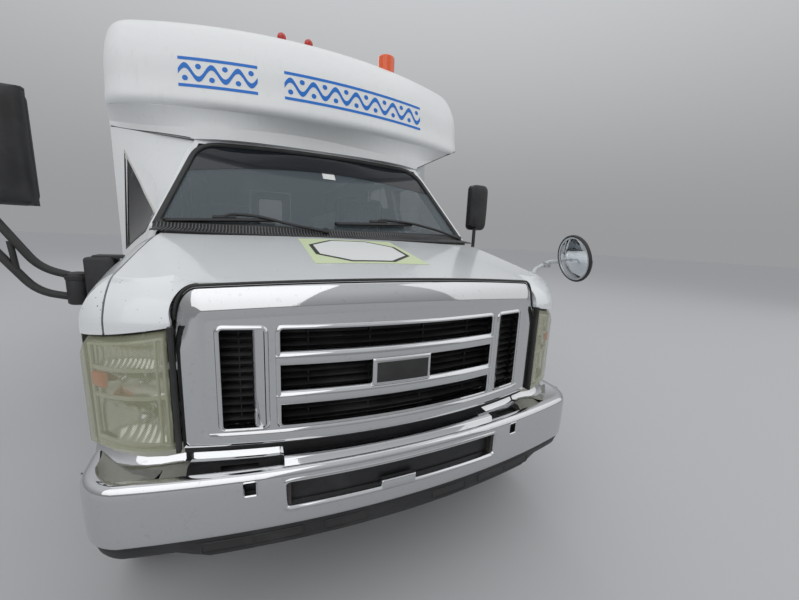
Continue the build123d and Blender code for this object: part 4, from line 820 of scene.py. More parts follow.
def lamp_face(side, x, z, depth):
    """A point behind the headlamp's face, whose outer end swells past the fender."""
    slope = (lamp_front(x + 0.002) - lamp_front(x - 0.002)) / 0.004
    length = math.hypot(1, slope)
    swell = 0.013 * max(0.0, (x - 0.80) / 0.112) * max(0.0, 1 - depth / 0.02)
    return at(side * (x + swell - depth * slope / length), lamp_front(x) + depth / length, z)


def lamp_drop(x):
    """Fall of the headlamp's tiers towards the fender."""
    return 0.06 * (x - 0.68)


def make_headlamps():
    """Hazed lenses in three tiers over bright bowls, with their pale frames and bulbs."""
    lenses = Form("headlamp_lenses")
    inside = Form("headlamp_bowls")
    for side in (-1, 1):
        ahead = (side * 0.35, -1, 0)

        def lens_point(x, v, depth):
            top = lamp_top(x)
            z = 0.746 + v * (top - 0.746)
            bevel = max(0.0, z - (top - 0.036)) * 0.42
            return lamp_face(side, x, z, depth + bevel)

        def rim(x, z, depth):
            return lamp_face(side, x, z, depth)

        columns, rows = steps(0.679, 0.909, most=0.018), steps(0, 1, most=0.08)
        lenses.add("lamp_lens", pillow(columns, rows, lens_point, 0.006, 0.085))
        edge = [(0.692, 0.762), (0.896, 0.762), (0.896, 1.050), (0.692, 1.082)]
        path = [rim(x, z, 0.012) for x, z in dense(edge, 0.03)]
        inside.add("lamp_frame", sweep(path, oblong(0.0035, 0.004, 0.001), ahead, closed=True))
        for z in (0.908, 0.992):
            path = [rim(x, z - lamp_drop(x), 0.014) for x in steps(0.690, 0.898, most=0.02)]
            inside.add("lamp_frame", sweep(path, oblong(0.005, 0.004, 0.001), ahead))
        path = [rim(0.712, z, 0.013) for z in (0.766, 0.9, 1.076)]
        inside.add("lamp_frame", sweep(path, oblong(0.003, 0.004, 0.001), ahead))
        for low, high, deep, flutes in ((0.752, 0.902, 0.052, 9), (0.902, 0.986, 0.034, 0), (0.986, 1.072, 0.030, 14)):
            def bowl(a, b):
                x = 0.684 + 0.218 * a
                swell = (1 - abs(2 * a - 1) ** 2.4) * (1 - abs(2 * b - 1) ** 2.4)
                ripple = 0.0025 * abs(math.sin(flutes * math.pi * a)) if flutes else 0.0
                return lamp_face(side, x, low + (high - low) * b - lamp_drop(x), 0.020 + deep * swell - ripple)
            inside.add("reflector", grid(steps(0, 1, most=0.018), steps(0, 1, most=0.06), bowl))
        for x, z, radius in ((0.785, 0.825, 0.020), (0.780, 0.942, 0.012), (0.850, 0.935, 0.009)):
            start = rim(x, z, 0.052)
            inside.add("chrome", lathe(
                ((-0.012, radius * 0.9), (0.004, radius), (0.012, radius * 0.8), (0.018, radius * 0.35), (0.020, 0.0)),
                start, ahead, 18))
        inside.add("amber_lens", pillow(steps(0.862, 0.894, most=0.012), steps(0.924, 0.966, most=0.02),
                                        lambda x, z, d: rim(x, z, 0.007 + d), 0.004, 0.012))
    lenses.done(replaces=("headlamps",), crease=40)
    inside.done(crease=40)


BUMPER_HALF, BUMPER_RISE = 0.86, 0.106
BUMPER_R = (BUMPER_HALF ** 2 + BUMPER_RISE ** 2) / (2 * BUMPER_RISE)
BUMPER_END = 0.820
MOUTH_HALF = 0.388
POCKET_X = (0.463, 0.500)
CORNER_START = 0.70
PAN_X = 0.385
STEP_SLOT = (0.455, 0.560)


def bumper_front(x):
    """Station of the bumper's bowed face."""
    return -BUMPER_BOW + BUMPER_R - math.sqrt(BUMPER_R ** 2 - x ** 2)


def bumper_columns():
    """Plan of the bumper from the curb side to the driver's, as points and inward directions."""
    right = [at(x, bumper_front(x), 0) for x in steps(0.0, MOUTH_HALF, *POCKET_X, 0.520, 0.600, BUMPER_END)]
    right += arc(at(BUMPER_END, bumper_front(BUMPER_END), 0), at(0.892, -0.008, 0), at(0.922, 0.078, 0), 10)[1:]
    right += [at(0.926, 0.13, 0), at(0.928, 0.188, 0)]
    left = [Vector((-p.x, p.y, 0)) for p in reversed(right[1:])]
    points = left + right
    columns = []
    for i, point in enumerate(points):
        run = points[min(i + 1, len(points) - 1)] - points[max(i - 1, 0)]
        columns.append((point, Vector((-run.y, run.x, 0)).normalized()))
    return columns


# Inward depth and height down to the lower roll and up over the face
BUMPER_ROWS = (
    (0.026, 0.528), (0.012, 0.519), (0.006, 0.5155), (0.003, 0.519), (0.002, 0.527), (0.0, 0.572), (0.0, 0.635),
    (0.0, 0.665), (0.0015, 0.680), (0.005, 0.6885), (0.010, 0.6945), (0.017, 0.6985), (0.026, 0.700), (0.036, 0.700))


def nose_front(x):
    """Station of the lowest edge of the nose at a width."""
    if abs(x) < GRILLE_HALF:
        return grille_front(x) + 0.012
    return lamp_front(min(abs(x), LAMP_OUTER)) + 0.010


# Share of the way back, then the height in the pans and across the middle
SHELF_ROWS = (
    (0.0, 0.694, 0.694), (0.08, 0.692, 0.700), (0.14, 0.688, 0.714), (0.18, 0.6865, 0.718), (0.60, 0.687, 0.720),
    (0.80, 0.690, 0.7215), (0.90, 0.698, 0.7225), (1.0, 0.714, 0.724))


def shelf_point(x, j):
    """A point of the shelf behind the face: a sunk pan under each lamp and a step across the middle."""
    share, pan, middle = SHELF_ROWS[j]
    front = bumper_front(min(abs(x), BUMPER_END)) + 0.016 + max(0.0, abs(x) - BUMPER_END)
    back = nose_front(x) + 0.024
    mix = min(1, max(0, (abs(x) - PAN_X) / 0.008))
    return at(x, front + (back - front) * share, middle + (pan - middle) * mix)


def make_valance():
    """Black plastic valance under the bumper, with its ducts."""
    form = Form("valance_skirt")
    columns = bumper_columns()
    rows = (
        (0.020, 0.527), (0.013, 0.520), (0.012, 0.500), (0.016, 0.494), (0.018, 0.470), (0.020, 0.455), (0.026, 0.437),
        (0.036, 0.431), (0.060, 0.433))

    def place(i, j):
        point, inward = columns[i]
        depth, z = rows[j]
        lift = 0.030 * min(1, max(0, (abs(point.x) - 0.62) / 0.05)) * max(0, (0.500 - z) / 0.069)
        return point + inward * depth + Vector((0, 0, z + lift))

    form.add("black_plastic", grid(range(len(columns)), range(len(rows)), place))
    for side in (-1, 1):
        for x in (0.195, 0.405, 0.545):
            low, high = sorted((side * (x - 0.07), side * (x + 0.07)))
            duct = opening_lip(
                low, high, 0.458, 0.486, lambda u, v: bumper_face(u, v, 0.0175),
                ((0.006, 0.0), (0.003, 0.003), (-0.002, 0.002), (-0.003, -0.004)), 0.006)
            form.add("black_plastic", duct)
            form.add("black_trim", patch(
                round_rect(low, high, 0.458, 0.486, 0.006), lambda u, v: bumper_face(u, v, 0.0165), 2))
    form.done(replaces=("bumper_valance",))


def bumper_face(x, z, depth=0.0):
    """A point on the bumper's face."""
    return at(x, bumper_front(x) + depth, z)


def make_bumper():
    """Chrome bumper pressed from one sheet, with its rolled mouth, steps and pockets."""
    form = Form("bumper_chrome")
    columns = bumper_columns()

    def place(i, j):
        point, inward = columns[i]
        depth, z = BUMPER_ROWS[j]
        return point + inward * depth + Vector((0, 0, z))

    def opened(i, j):
        a, b = columns[int(i)][0].x, columns[int(i) + 1][0].x
        x = abs(a + b) / 2
        z0, z1 = BUMPER_ROWS[int(j)][1], BUMPER_ROWS[int(j) + 1][1]
        mouth = x < MOUTH_HALF and 0.571 < min(z0, z1) and max(z0, z1) < 0.666
        pocket = POCKET_X[0] < x < POCKET_X[1] and 0.634 < min(z0, z1) and max(z0, z1) < 0.681
        return mouth or pocket

    form.add("chrome", grid(range(len(columns)), range(len(BUMPER_ROWS)), place, opened))
    rolled = ((0.010, -0.0005), (0.006, 0.003), (0.001, 0.0035), (-0.004, 0.0), (-0.006, -0.006), (-0.006, -0.026))
    form.add("chrome", opening_lip(-0.386, 0.386, 0.574, 0.663, bumper_face, rolled, 0.014))
    for side in (-1, 1):
        x0, x1 = sorted((side * 0.464, side * 0.499))
        form.add("chrome", opening_lip(
            x0, x1, 0.636, 0.679, bumper_face, ((0.004, -0.0005), (0.001, 0.002), (-0.002, -0.001), (-0.002, -0.02)),
            0.004))
    form.add("chrome", pillow(
        steps(-0.088, 0.036, most=0.02), steps(0.566, 0.602, most=0.02), lambda x, z, d: bumper_face(x, z, d - 0.0045),
        0.007, 0.022))
    half = (PAN_X, PAN_X + 0.008, *STEP_SLOT, 0.918)
    columns_over = steps(*(-x for x in reversed(half)), *half, most=0.04)
    form.add("chrome", grid(
        columns_over, range(len(SHELF_ROWS)), shelf_point,
        lambda x, j: STEP_SLOT[0] < abs(x) < STEP_SLOT[1] and 3 < j < 4))
    form.add("black_trim", grid(
        steps(-0.62, 0.62), (0, 1), lambda x, j: at(x, bumper_front(x) + 0.03 + 0.09 * j, 0.672)))
    corner = [i for i, (point, _) in enumerate(columns) if point.x > CORNER_START]
    flange = ((0.034, 0.700), (0.045, 0.6975), (0.070, 0.692), (0.100, 0.6885))

    def turned(i, j):
        point, inward = columns[i]
        sunk = 0.007 * max(0, 1 - (abs(point.x) - CORNER_START) / 0.04)
        return point + inward * flange[j][0] + Vector((0, 0, flange[j][1] - sunk * (j > 0)))

    for part in (corner, [len(columns) - 1 - i for i in reversed(corner)]):
        form.add("chrome", grid(part, range(len(flange)), turned))
    form.add("black_plastic", grid(steps(-0.52, 0.52), (0.560, 0.690), lambda x, z: bumper_face(x, z, 0.03)))
    form.done(replaces=("front_bumper",), crease=40)


DECAL_HALF = 0.240
DECAL_STATION = 0.44
OCTAGON_HALF = 0.212
OCTAGON_CUT = 0.44


def make_decal():
    """Square decal on the hood, with a blank octagon in a black border."""
    form = Form("hood_decal")
    border = bpy.context.scene.truck_sizes.stripe_edge
    square = [(x * DECAL_HALF, DECAL_STATION + y * DECAL_HALF) for x, y in ((-1, -1), (1, -1), (1, 1), (-1, 1))]
    for finish, lift, outline in (
        ("decal_green", 0.0007, square),
        ("decal_black", 0.0011, octagon(OCTAGON_HALF)),
        ("decal_white", 0.0015, octagon(OCTAGON_HALF - border)),
    ):
        on_hood = Drape((0, 0, -1), lift, "hood")
        form.add(finish, patch(dense(outline, 0.03), lambda x, station: on_hood(at(x, station, 1.5)), 8))
    form.done(body="hood")


def octagon(half):
    """Octagon in the middle of the decal."""
    cut = half * OCTAGON_CUT
    corners = [
        (half, cut), (cut, half), (-cut, half), (-half, cut), (-half, -cut), (-cut, -half), (cut, -half), (half, -cut)]
    return [(x, DECAL_STATION + y) for x, y in corners]


# Cap and windscreen

CAP_REAR = 2.360
ROOF_EDGE_Z = 2.555
ROOF_EDGE_R = 0.200
ORNAMENT_SPANS = ((-0.802, -0.382), (-0.231, 0.747))
ORNAMENT_LINES = (2.198, 2.348)
ORNAMENT_MIDDLE = 2.273
WAVE_PITCH = 0.14
STROKE_HALF = 0.015


def make_ornament():
    """Blue vinyl on the cap: two lines, a wave between them and dots in its hollows."""
    form = Form("cap_ornament")
    on_cap = Drape((0, 1, 0), 0.0012, "front_cap")

    def laid(x, z):
        return on_cap(at(x, 0.9, z))

    for x0, x1 in ORNAMENT_SPANS:
        waves = round((x1 - x0) / WAVE_PITCH)
        pitch = (x1 - x0) / waves
        run = steps(x0, x1, most=0.010)
        for z in ORNAMENT_LINES:
            form.add("ornament_blue", skin([[laid(x, z - 0.009), laid(x, z + 0.009)] for x in run], closed=False))
        ribbon = []
        for x in run:
            z = ORNAMENT_MIDDLE + 0.036 * math.sin(2 * math.pi * (x - x0) / pitch)
            ribbon.append([laid(x, z - STROKE_HALF), laid(x, z), laid(x, z + STROKE_HALF)])
        form.add("ornament_blue", skin(ribbon, closed=False))
        for i in range(2 * waves):
            x = x0 + pitch * (i + 0.5) / 2
            z = ORNAMENT_MIDDLE + (-0.034 if i % 2 == 0 else 0.034)
            dot = [(x + a, z + b) for a, b in circle(STROKE_HALF, 20)]
            form.add("ornament_blue", patch(dot, laid, 2))
    form.done()


def make_cap_seams():
    """Bead where the cap meets the body, and the joints under its ends."""
    form = Form("cap_seams")
    for side in (-1, 1):
        arch = [at(side * 1.2195, CAP_REAR, z) for z in (2.305, 2.43, 2.545)]
        turn = [at(side * (1.0195 + a), CAP_REAR, ROOF_EDGE_Z + b) for a, b in circle(ROOF_EDGE_R, 32)[:9]]
        path = arch + turn + [at(side * x, CAP_REAR, 2.755) for x in (0.7, 0.3, 0.0)]
        form.add("sealant", sweep(
            path, oblong(0.009, 0.0022, 0.001), lambda p: Vector((p.x * 0.3, 0, p.z - 1.9)).normalized()))
    # Height of each dark joint under the cap at the wall, on the fairing and on the driver's side
    for side, low_z in ((-1, 1.985), (1, 2.150)):
        meet = Drape((0, 1, 0), 0.0006, "front_cap", "fairing", "wall_driver")
        path = [
            meet(at(side * x, 0.9, low_z + (1.918 - low_z) * (1.212 - x) / 0.474 + 0.001))
            for x in steps(0.760, 1.212, most=0.02)]
        form.add("black_trim", sweep(path, oblong(0.0025, 0.0012, 0.0005), (side * 0.5, -0.86, 0)))
    form.done()


SCREEN_LOW = (0.900, 0.952, 0.870, 1.395)
SCREEN_HIGH = (0.900, 1.458, 1.392, 1.915)


def screen_face(x, z, depth=0.0):
    """A point on the raked, bowed plane of the windscreen."""
    part = (z - SCREEN_LOW[3]) / (SCREEN_HIGH[3] - SCREEN_LOW[3])
    low = SCREEN_LOW[2] + (SCREEN_LOW[1] - SCREEN_LOW[2]) * (x / SCREEN_LOW[0]) ** 2
    high = SCREEN_HIGH[2] + (SCREEN_HIGH[1] - SCREEN_HIGH[2]) * (x / SCREEN_HIGH[0]) ** 2
    return at(x, low + (high - low) * part + depth, z)


def screen_out(point):
    """Direction out of the windscreen at a point."""
    x, z = point.x, point.z
    across = screen_face(x + 0.01, z) - screen_face(x - 0.01, z)
    rise = screen_face(x, z + 0.01) - screen_face(x, z - 0.01)
    return across.cross(rise).normalized()


SCREEN_RIM = 0.021
SCREEN_CORNER = (0.738, 1.918)


def screen_outline(rim):
    """Outline of the glass, moved in by rim, anticlockwise from the driver's lower corner."""
    foot_x, foot_z = 0.900 - rim * 1.1, 1.392 + rim
    top_x, top_z, middle = SCREEN_CORNER[0] - rim * 0.8, SCREEN_CORNER[1] - rim, 1.940 - rim
    points = [(foot_x * (1 - 2 * i / 30), foot_z - 0.008 * (1 - (1 - 2 * i / 30) ** 2)) for i in range(31)][::-1]
    points += [(foot_x + (top_x - foot_x) * i / 10, foot_z + (top_z - foot_z) * i / 10) for i in range(1, 10)]
    points += [(top_x * (1 - 2 * i / 26), top_z + (middle - top_z) * (1 - (1 - 2 * i / 26) ** 2)) for i in range(27)]
    points += [(-(top_x + (foot_x - top_x) * i / 10), top_z + (foot_z - top_z) * i / 10) for i in range(1, 10)]
    return points


def rounded_corner(points, corner, reach):
    """The outline with one sharp corner eased by a curve that stays in the rubber."""
    near = [i for i, p in enumerate(points) if math.dist(p, corner) < reach]
    (x0, z0), (x1, z1) = points[near[0] - 1], points[near[-1] + 1]

    def eased(a, b, c, t):
        return a * (1 - t) ** 2 + 2 * b * t * (1 - t) + c * t * t

    curve = [(eased(x0, corner[0], x1, t), eased(z0, corner[1], z1, t)) for t in (0.15, 0.3, 0.5, 0.7, 0.85)]
    return points[:near[0]] + curve + points[near[-1] + 1:]


def make_screen_trim():
    """Rubber round the windscreen, its tint band and a blank sticker."""
    form = Form("windscreen_rubber")
    outline = screen_outline(SCREEN_RIM)
    for side in (-1, 1):
        corner = (side * (SCREEN_CORNER[0] - SCREEN_RIM * 0.8), SCREEN_CORNER[1] - SCREEN_RIM)
        outline = rounded_corner(outline, corner, 0.062)
    path = [screen_face(x, z) for x, z in outline]
    rubber_section = (
        (-0.019, -0.006), (-0.016, 0.003), (-0.006, 0.006), (0.004, 0.0055), (0.010, 0.001), (0.011, -0.010))
    form.add("black_trim", sweep(path, rubber_section, screen_out, closed=True, sheet=True))
    form.done()
    tint = Form("windscreen_tint")

    def band(u, v):
        low, top = 1.778 - 0.070 * u ** 2, 1.914 - 0.022 * u ** 2
        z = low + (top - low) * v
        half = 0.8714 + (0.7172 - 0.8714) * (z - 1.418) / (1.892 - 1.418) - 0.002
        return screen_face(u * half, z, 0.0105)

    tint.add("tint_band", grid(steps(-1, 1, most=0.05), steps(0, 1, most=0.2), band))
    square = [(-0.010, 1.740), (0.070, 1.738), (0.070, 1.790), (-0.010, 1.794)]
    tint.add("decal_white", patch(dense(square, 0.03), lambda x, z: screen_face(x, z, 0.0112), 2))
    tint.done()


WIPERS = (
    # Blade's ends, then the arm from the blade to its pivot, as widths and heights on the glass
    (
        ((-0.831, 1.424), (-0.338, 1.451)),
        ((-0.571, 1.456), (-0.540, 1.470), (-0.411, 1.468), (-0.251, 1.432), (-0.068, 1.403)),
    ),
    (
        ((0.007, 1.452), (0.500, 1.474)),
        ((0.270, 1.482), (0.300, 1.492), (0.505, 1.484), (0.700, 1.446), (0.850, 1.400)),
    ),
)


def make_wipers():
    """Two wipers: pivots with caps, arms and blades with their bows."""
    form = Form("wiper_arms")
    for blade, arm in WIPERS:
        (x0, z0), (x1, z1) = blade
        run = [(x0 + (x1 - x0) * i / 10, z0 + (z1 - z0) * i / 10, math.sin(math.pi * i / 10)) for i in range(11)]
        form.add("black_trim", sweep(
            [screen_face(x, z, -0.006) for x, z, _ in run], oblong(0.0060, 0.008, 0.001), screen_out))
        form.add("black_plastic", sweep(
            [screen_face(x, z, -0.016 - 0.008 * rise) for x, z, rise in run], oblong(0.0085, 0.0035, 0.001),
            screen_out))
        for i in (0, 3, 7, 10):
            x, z, rise = run[i]
            form.add("black_plastic", sweep(
                [screen_face(x - 0.012, z, -0.010), screen_face(x + 0.012, z, -0.010)], oblong(0.005, 0.010, 0.002),
                screen_out))
        x, z = arm[0]
        form.add("black_plastic", sweep(
            [screen_face(x - 0.055, z - 0.006, -0.024), screen_face(x + 0.055, z - 0.001, -0.024)],
            oblong(0.010, 0.006, 0.003), screen_out))
        path = bend([screen_face(x, z, -0.030) for x, z in arm], 0.05)
        form.add("black_plastic", sweep(path, oblong(0.0080, 0.005, 0.002), screen_out))
        pivot = screen_face(*arm[-1], -0.020)
        form.add("black_plastic", lathe(
            ((-0.030, 0.012), (-0.004, 0.014), (0.002, 0.020), (0.012, 0.018), (0.017, 0.010), (0.018, 0.0)), pivot,
            screen_out(pivot), 20))
    form.done(replaces=("wipers",))


def hood_bow(x):
    """How far the hood's rear edge lies behind its ends."""
    return 0.069 * (x / 0.94) ** 2


def cowl_rise(station):
    """Height that the cowl gains towards the windscreen."""
    return (station - 0.700) * 0.1032


def make_cowl_ribs():
    """Cover of the cowl with close ribs, and the rubber seal at the rear of the hood."""
    form = Form("cowl_ribs")
    cover = grid(steps(-0.886, 0.886), (1.372, 1.392, 1.4135), lambda x, z: screen_face(x, z, -0.0025))
    form.add("black_plastic", cover)
    for i in range(-57, 58):
        x = i * 0.0152
        front, rear = 0.744 + hood_bow(x), screen_face(x, 1.372).y - NOSE - 0.004
        path = []
        for k in range(5):
            station = front + (rear - front) * k / 4
            path.append(at(x, station, 1.362 + cowl_rise(station) + 0.0015))
        path[-1] = screen_face(x, 1.388, -0.006)
        path.append(screen_face(x, 1.411, -0.006))
        form.add("grey_plastic", sweep(path, oblong(0.0028, 0.0035, 0.001), (0, -0.3, 1)))
    path = []
    for x in steps(-0.80, 0.80, most=0.08):
        station = 0.743 + hood_bow(x)
        path.append(at(x, station, 1.364 + cowl_rise(station)))
    form.add("black_trim", sweep(path, oblong(0.006, 0.005, 0.002), (0, 0, 1)))
    form.done()


# Mirrors

def make_fender_mirrors():
    """Mirrors on the fenders: the flat one on bent tubes, and the round one on its arm."""
    form = Form("fender_mirrors")
    box = [at(x, y, z) for x, y, z in ((-1.012, 0.500, 1.090), (-0.925, 0.600, 1.268))]
    form.add("black_plastic", rounded_box(box[0], box[1], 0.012, 3))
    form.add("black_plastic", rounded_box(at(-0.990, 0.516, 1.262), at(-0.905, 0.584, 1.275), 0.005, 2))
    form.add("black_plastic", lathe(
        ((-0.005, 0.030), (0.0, 0.036), (0.104, 0.036), (0.110, 0.032), (0.114, 0.018), (0.116, 0.0)),
        at(-1.044, 0.550, 1.096), (0, 0, 1), 28))
    form.add("black_plastic", lathe(
        ((0.0, 0.0385), (0.012, 0.0385), (0.014, 0.036)), at(-1.044, 0.550, 1.184), (0, 0, 1), 28))
    form.add("black_plastic", rounded_box(at(-1.030, 0.528, 1.110), at(-1.000, 0.572, 1.200), 0.006))
    tubes = (
        [at(-1.044, 0.550, 1.190), at(-1.147, 0.550, 1.224), at(-1.290, 0.560, 1.460)],
        [at(-1.044, 0.550, 1.112), at(-1.161, 0.550, 1.139), at(-1.300, 0.560, 1.345), at(-1.300, 0.560, 1.470)],
        [at(-1.216, 0.552, 1.316), at(-1.208, 0.552, 1.212)],
    )
    for path, radius in zip(tubes, (0.0135, 0.0135, 0.009)):
        form.add("black_trim", bar(bend(path, 0.05), radius))
    form.add("black_plastic", rounded_box(at(-1.330, 0.548, 1.452), at(-1.262, 0.574, 1.50), 0.006))

    def head(u, v, depth):
        lean = 0.010 * math.sin(math.pi * (v - 1.440) / 0.385)
        return at(u, 0.530 - lean + depth, v)

    form.add("black_plastic", pillow(steps(-1.340, -1.140), steps(1.440, 1.825), head, 0.040, 0.064))
    frame_path = [at(u, 0.594, v) for u, v in round_rect(-1.334, -1.146, 1.446, 1.819, 0.030)]
    form.add("black_trim", sweep(frame_path, oblong(0.007, 0.006, 0.002), (0, 1, 0), closed=True))
    form.add("mirror_glass", patch(round_rect(-1.330, -1.150, 1.450, 1.815, 0.026), lambda u, v: at(u, 0.592, v), 3))
    # Round mirror: centre, the way it faces, then the rings of its dish
    centre, facing = at(1.149, 0.238, 1.320), Vector((-0.96, 0.2, -0.2)).normalized()
    form.add("chrome", lathe(
        ((-0.020, 0.0), (-0.020, 0.060), (-0.016, 0.108), (-0.008, 0.122), (0.000, 0.125)), centre, facing, 48))
    form.add("black_trim", lathe(
        ((-0.002, 0.1245), (0.003, 0.127), (0.010, 0.127), (0.015, 0.123), (0.015, 0.118), (0.011, 0.1165)), centre,
        facing, 48))
    form.add("bare_aluminium", lathe(
        ((0.008, 0.1170), (0.0135, 0.1160), (0.0135, 0.109), (0.011, 0.108)), centre, facing, 48))
    bulge = [(0.010 + 0.028 * (1 - (r / 0.110) ** 2), r) for r in (0.110, 0.095, 0.08, 0.06, 0.04, 0.02, 0.0)]
    form.add("mirror_glass", lathe(bulge, centre, facing, 48))
    socket = centre - facing * 0.018
    form.add("bare_aluminium", lathe(
        ((0.0, 0.022), (-0.014, 0.020), (-0.020, 0.012), (-0.021, 0.0)), socket, facing, 20))
    arm = [
        at(0.912, 0.300, 1.150), at(0.930, 0.300, 1.252), at(1.130, 0.385, 1.292), at(1.205, 0.345, 1.296),
        socket - facing * 0.014]
    form.add("mirror_arm", bar(bend(arm, 0.035), 0.011))
    form.add("bare_aluminium", lathe(
        ((0.0, 0.024), (0.006, 0.024), (0.008, 0.020), (0.008, 0.0)), at(0.912, 0.300, 1.150), (0.15, 0, 1), 20))
    form.add("bare_aluminium", rounded_box(at(1.03, 0.312, 1.262), at(1.062, 0.346, 1.292), 0.006))
    form.done(replaces=("mirrors",), crease=40)


def make_door_mirror():
    """Driver's mirror, with its bracket, on the door."""
    form = Form("door_mirror_head")

    def head(u, v, depth):
        return at(u, 1.272 - 0.006 * math.sin(math.pi * (v - 1.480) / 0.353) + depth, v)

    layers = ((0.040, -0.004), (0.022, 0.0), (0.008, 0.006), (0.0, 0.018), (0.0, 0.050), (0.005, 0.060))
    form.add("black_plastic", skin([
        [head(u, v, depth) for u, v in round_rect(1.178 + i, 1.336 - i, 1.480 + i, 1.833 - i, 0.042 - i * 0.6)]
        for i, depth in layers]))
    rim = [at(u, 1.334, v) for u, v in round_rect(1.184, 1.330, 1.486, 1.827, 0.030)]
    form.add("black_trim", sweep(rim, oblong(0.006, 0.005, 0.002), (0, 1, 0), closed=True))
    form.add("mirror_glass", patch(round_rect(1.188, 1.326, 1.490, 1.823, 0.026), lambda u, v: at(u, 1.332, v), 3))
    path = [at(1.012, 1.309, 1.252), at(1.245, 1.305, 1.300), at(1.245, 1.305, 1.490)]
    form.add("black_trim", bar(bend(path, 0.06), 0.0135))
    form.add("black_plastic", rounded_box(at(1.002, 1.272, 1.215), at(1.024, 1.348, 1.290), 0.006))
    form.done(body="driver_door", replaces=("door_mirror",))


# Wheels

FRONT_AXLE, REAR_AXLE = 0.640, 4.653
FRONT_TRACK, REAR_TRACK = 0.881, 0.945
TWIN_SHIFT = 0.1375
RIM_HALF = 0.0825
WHEEL_NUTS = 8
TYRE_R = 0.372
TREAD_BLOCKS = 64


def tyre_profile(depth, open_groove):
    """Half section of the tyre from the bead to the tread's middle, as (along, radius), or of a groove."""
    r = TYRE_R
    wall = [
        (-0.0735, 0.205), (-0.0735, 0.221), (-0.090, 0.232), (-0.1035, 0.250), (-0.1045, 0.253), (-0.1075, 0.258),
        (-0.1115, 0.293), (-0.1108, 0.318), (-0.1070, 0.334), (-0.1060, 0.336), (-0.1025, 0.344)]
    cut = depth if open_groove else 0.0
    shoulder = [
        (-0.0985, r - 0.020 - cut * 0.4), (-0.090, r - 0.0085 - cut), (-0.076, r - 0.0035 - cut),
        (-0.0665, r - 0.0022 - cut)]
    tread = [
        (-0.0655, r - depth), (-0.0580, r - depth), (-0.0570, r - 0.0015 - cut * 0.7), (-0.034, r - 0.0005 - cut * 0.7),
        (-0.0330, r - depth), (-0.0255, r - depth), (-0.0245, r - cut * 0.5), (0.0, r - cut * 0.5)]
    return wall + shoulder + tread


def make_tyre(x, station):
    """Tyre with circumferential grooves, tread blocks and ribbed sidewalls."""
    depth = bpy.context.scene.truck_sizes.tread_depth
    sections = []
    for groove in (False, True):
        half = tyre_profile(depth, groove)
        sections.append(half + [(-a, r) for a, r in reversed(half[:-1])])
    rings = []
    for i in range(TREAD_BLOCKS):
        for share, groove in ((0.0, False), (0.74, False), (0.78, True), (0.96, True)):
            a = 2 * math.pi * (i + share) / TREAD_BLOCKS
            rings.append([
                at(x + along, station + radius * math.cos(a), TYRE_R + radius * math.sin(a))
                for along, radius in sections[groove]])
    rings.append(rings[0])
    return skin(rings, closed=False)


def make_tyres():
    """Treaded tyres for both axles, the rear ones in pairs."""
    for side, label in ((1, "left"), (-1, "right")):
        front = Form(f"front_tread_{label}")
        front.add("tyre", make_tyre(side * FRONT_TRACK, FRONT_AXLE))
        front.done(body=f"wheel_front_{label}", replaces=(f"tyre_front_{label}",), crease=30)
        rear = Form(f"rear_tread_{label}")
        for place in (-TWIN_SHIFT, TWIN_SHIFT):
            rear.add("tyre", make_tyre(side * (REAR_TRACK + place), REAR_AXLE))
        rear.done(body=f"wheel_rear_{label}", replaces=(f"tyre_rear_{label}",), crease=30)


def make_wheel_trim():
    """Nuts, hub caps, valves and rim beads."""
    for side, label in ((1, "left"), (-1, "right")):
        for axle, station, face_x, hub_x, ring_r in (
            ("front", FRONT_AXLE, 0.926, 0.971, 0.0826),
            ("rear", REAR_AXLE, 0.990, 1.120, 0.0946),
        ):
            form = Form(f"{axle}_wheel_trim_{label}")
            out = (side, 0, 0)
            reach, radius = (0.026, 0.062) if axle == "front" else (0.020, 0.073)
            for i in range(WHEEL_NUTS):
                a = 2 * math.pi / WHEEL_NUTS * i
                place = at(side * (face_x + 0.010), station + ring_r * math.cos(a), TYRE_R + ring_r * math.sin(a))
                nut = (
                    (0.0, 0.0185), (0.003, 0.0185), (0.004, 0.0165), (0.006, 0.0160), (reach, 0.0150),
                    (reach + 0.003, 0.012), (reach + 0.003, 0.0))
                form.add("wheel_steel", lathe(nut, place, out, 6))
            centre = at(side * (hub_x - 0.001), station, TYRE_R)
            cap = (
                (-0.030, radius + 0.0015), (-0.006, radius + 0.0015), (-0.001, radius - 0.003), (0.0, radius - 0.008),
                (0.0, radius - 0.020), (0.0015, radius - 0.022), (0.0015, 0.0))
            form.add("wheel_steel", lathe(cap, centre, out, 40))
            rim_x = FRONT_TRACK + RIM_HALF if axle == "front" else REAR_TRACK + TWIN_SHIFT + RIM_HALF
            rim = at(side * (rim_x - 0.001), station, TYRE_R)
            form.add("wheel_steel", lathe(
                ((-0.006, 0.1925), (0.0, 0.1935), (0.0012, 0.200), (0.0012, 0.214), (-0.001, 0.220), (-0.006, 0.222)),
                rim, out, 72))
            stem = at(side * (rim_x - 0.030), station + 0.182 * math.cos(1.2), TYRE_R + 0.182 * math.sin(1.2))
            form.add("black_trim", lathe(
                ((0.0, 0.005), (0.022, 0.004), (0.024, 0.0045), (0.033, 0.0045), (0.034, 0.0)), stem, out, 12))
            form.done(body=f"wheel_{axle}_{label}")


# Body

BODY_X = 1.219
ARCH_R = 0.448
BELT_RAIL_Z = 0.850
SKIRT_RAIL_Z = 0.412
REAR_WALL = 6.895
FLAP_X = -1.2255
SHELF_EDGE_X = -1.2495
CURB_OUT, DRIVER_OUT, REAR_OUT = (-1, 0, 0), (1, 0, 0), (0, 1, 0)


def side_path(side, corners, x=BODY_X):
    """Path on a side wall through (station, z) points."""
    return [at(side * x, station, z) for station, z in corners]


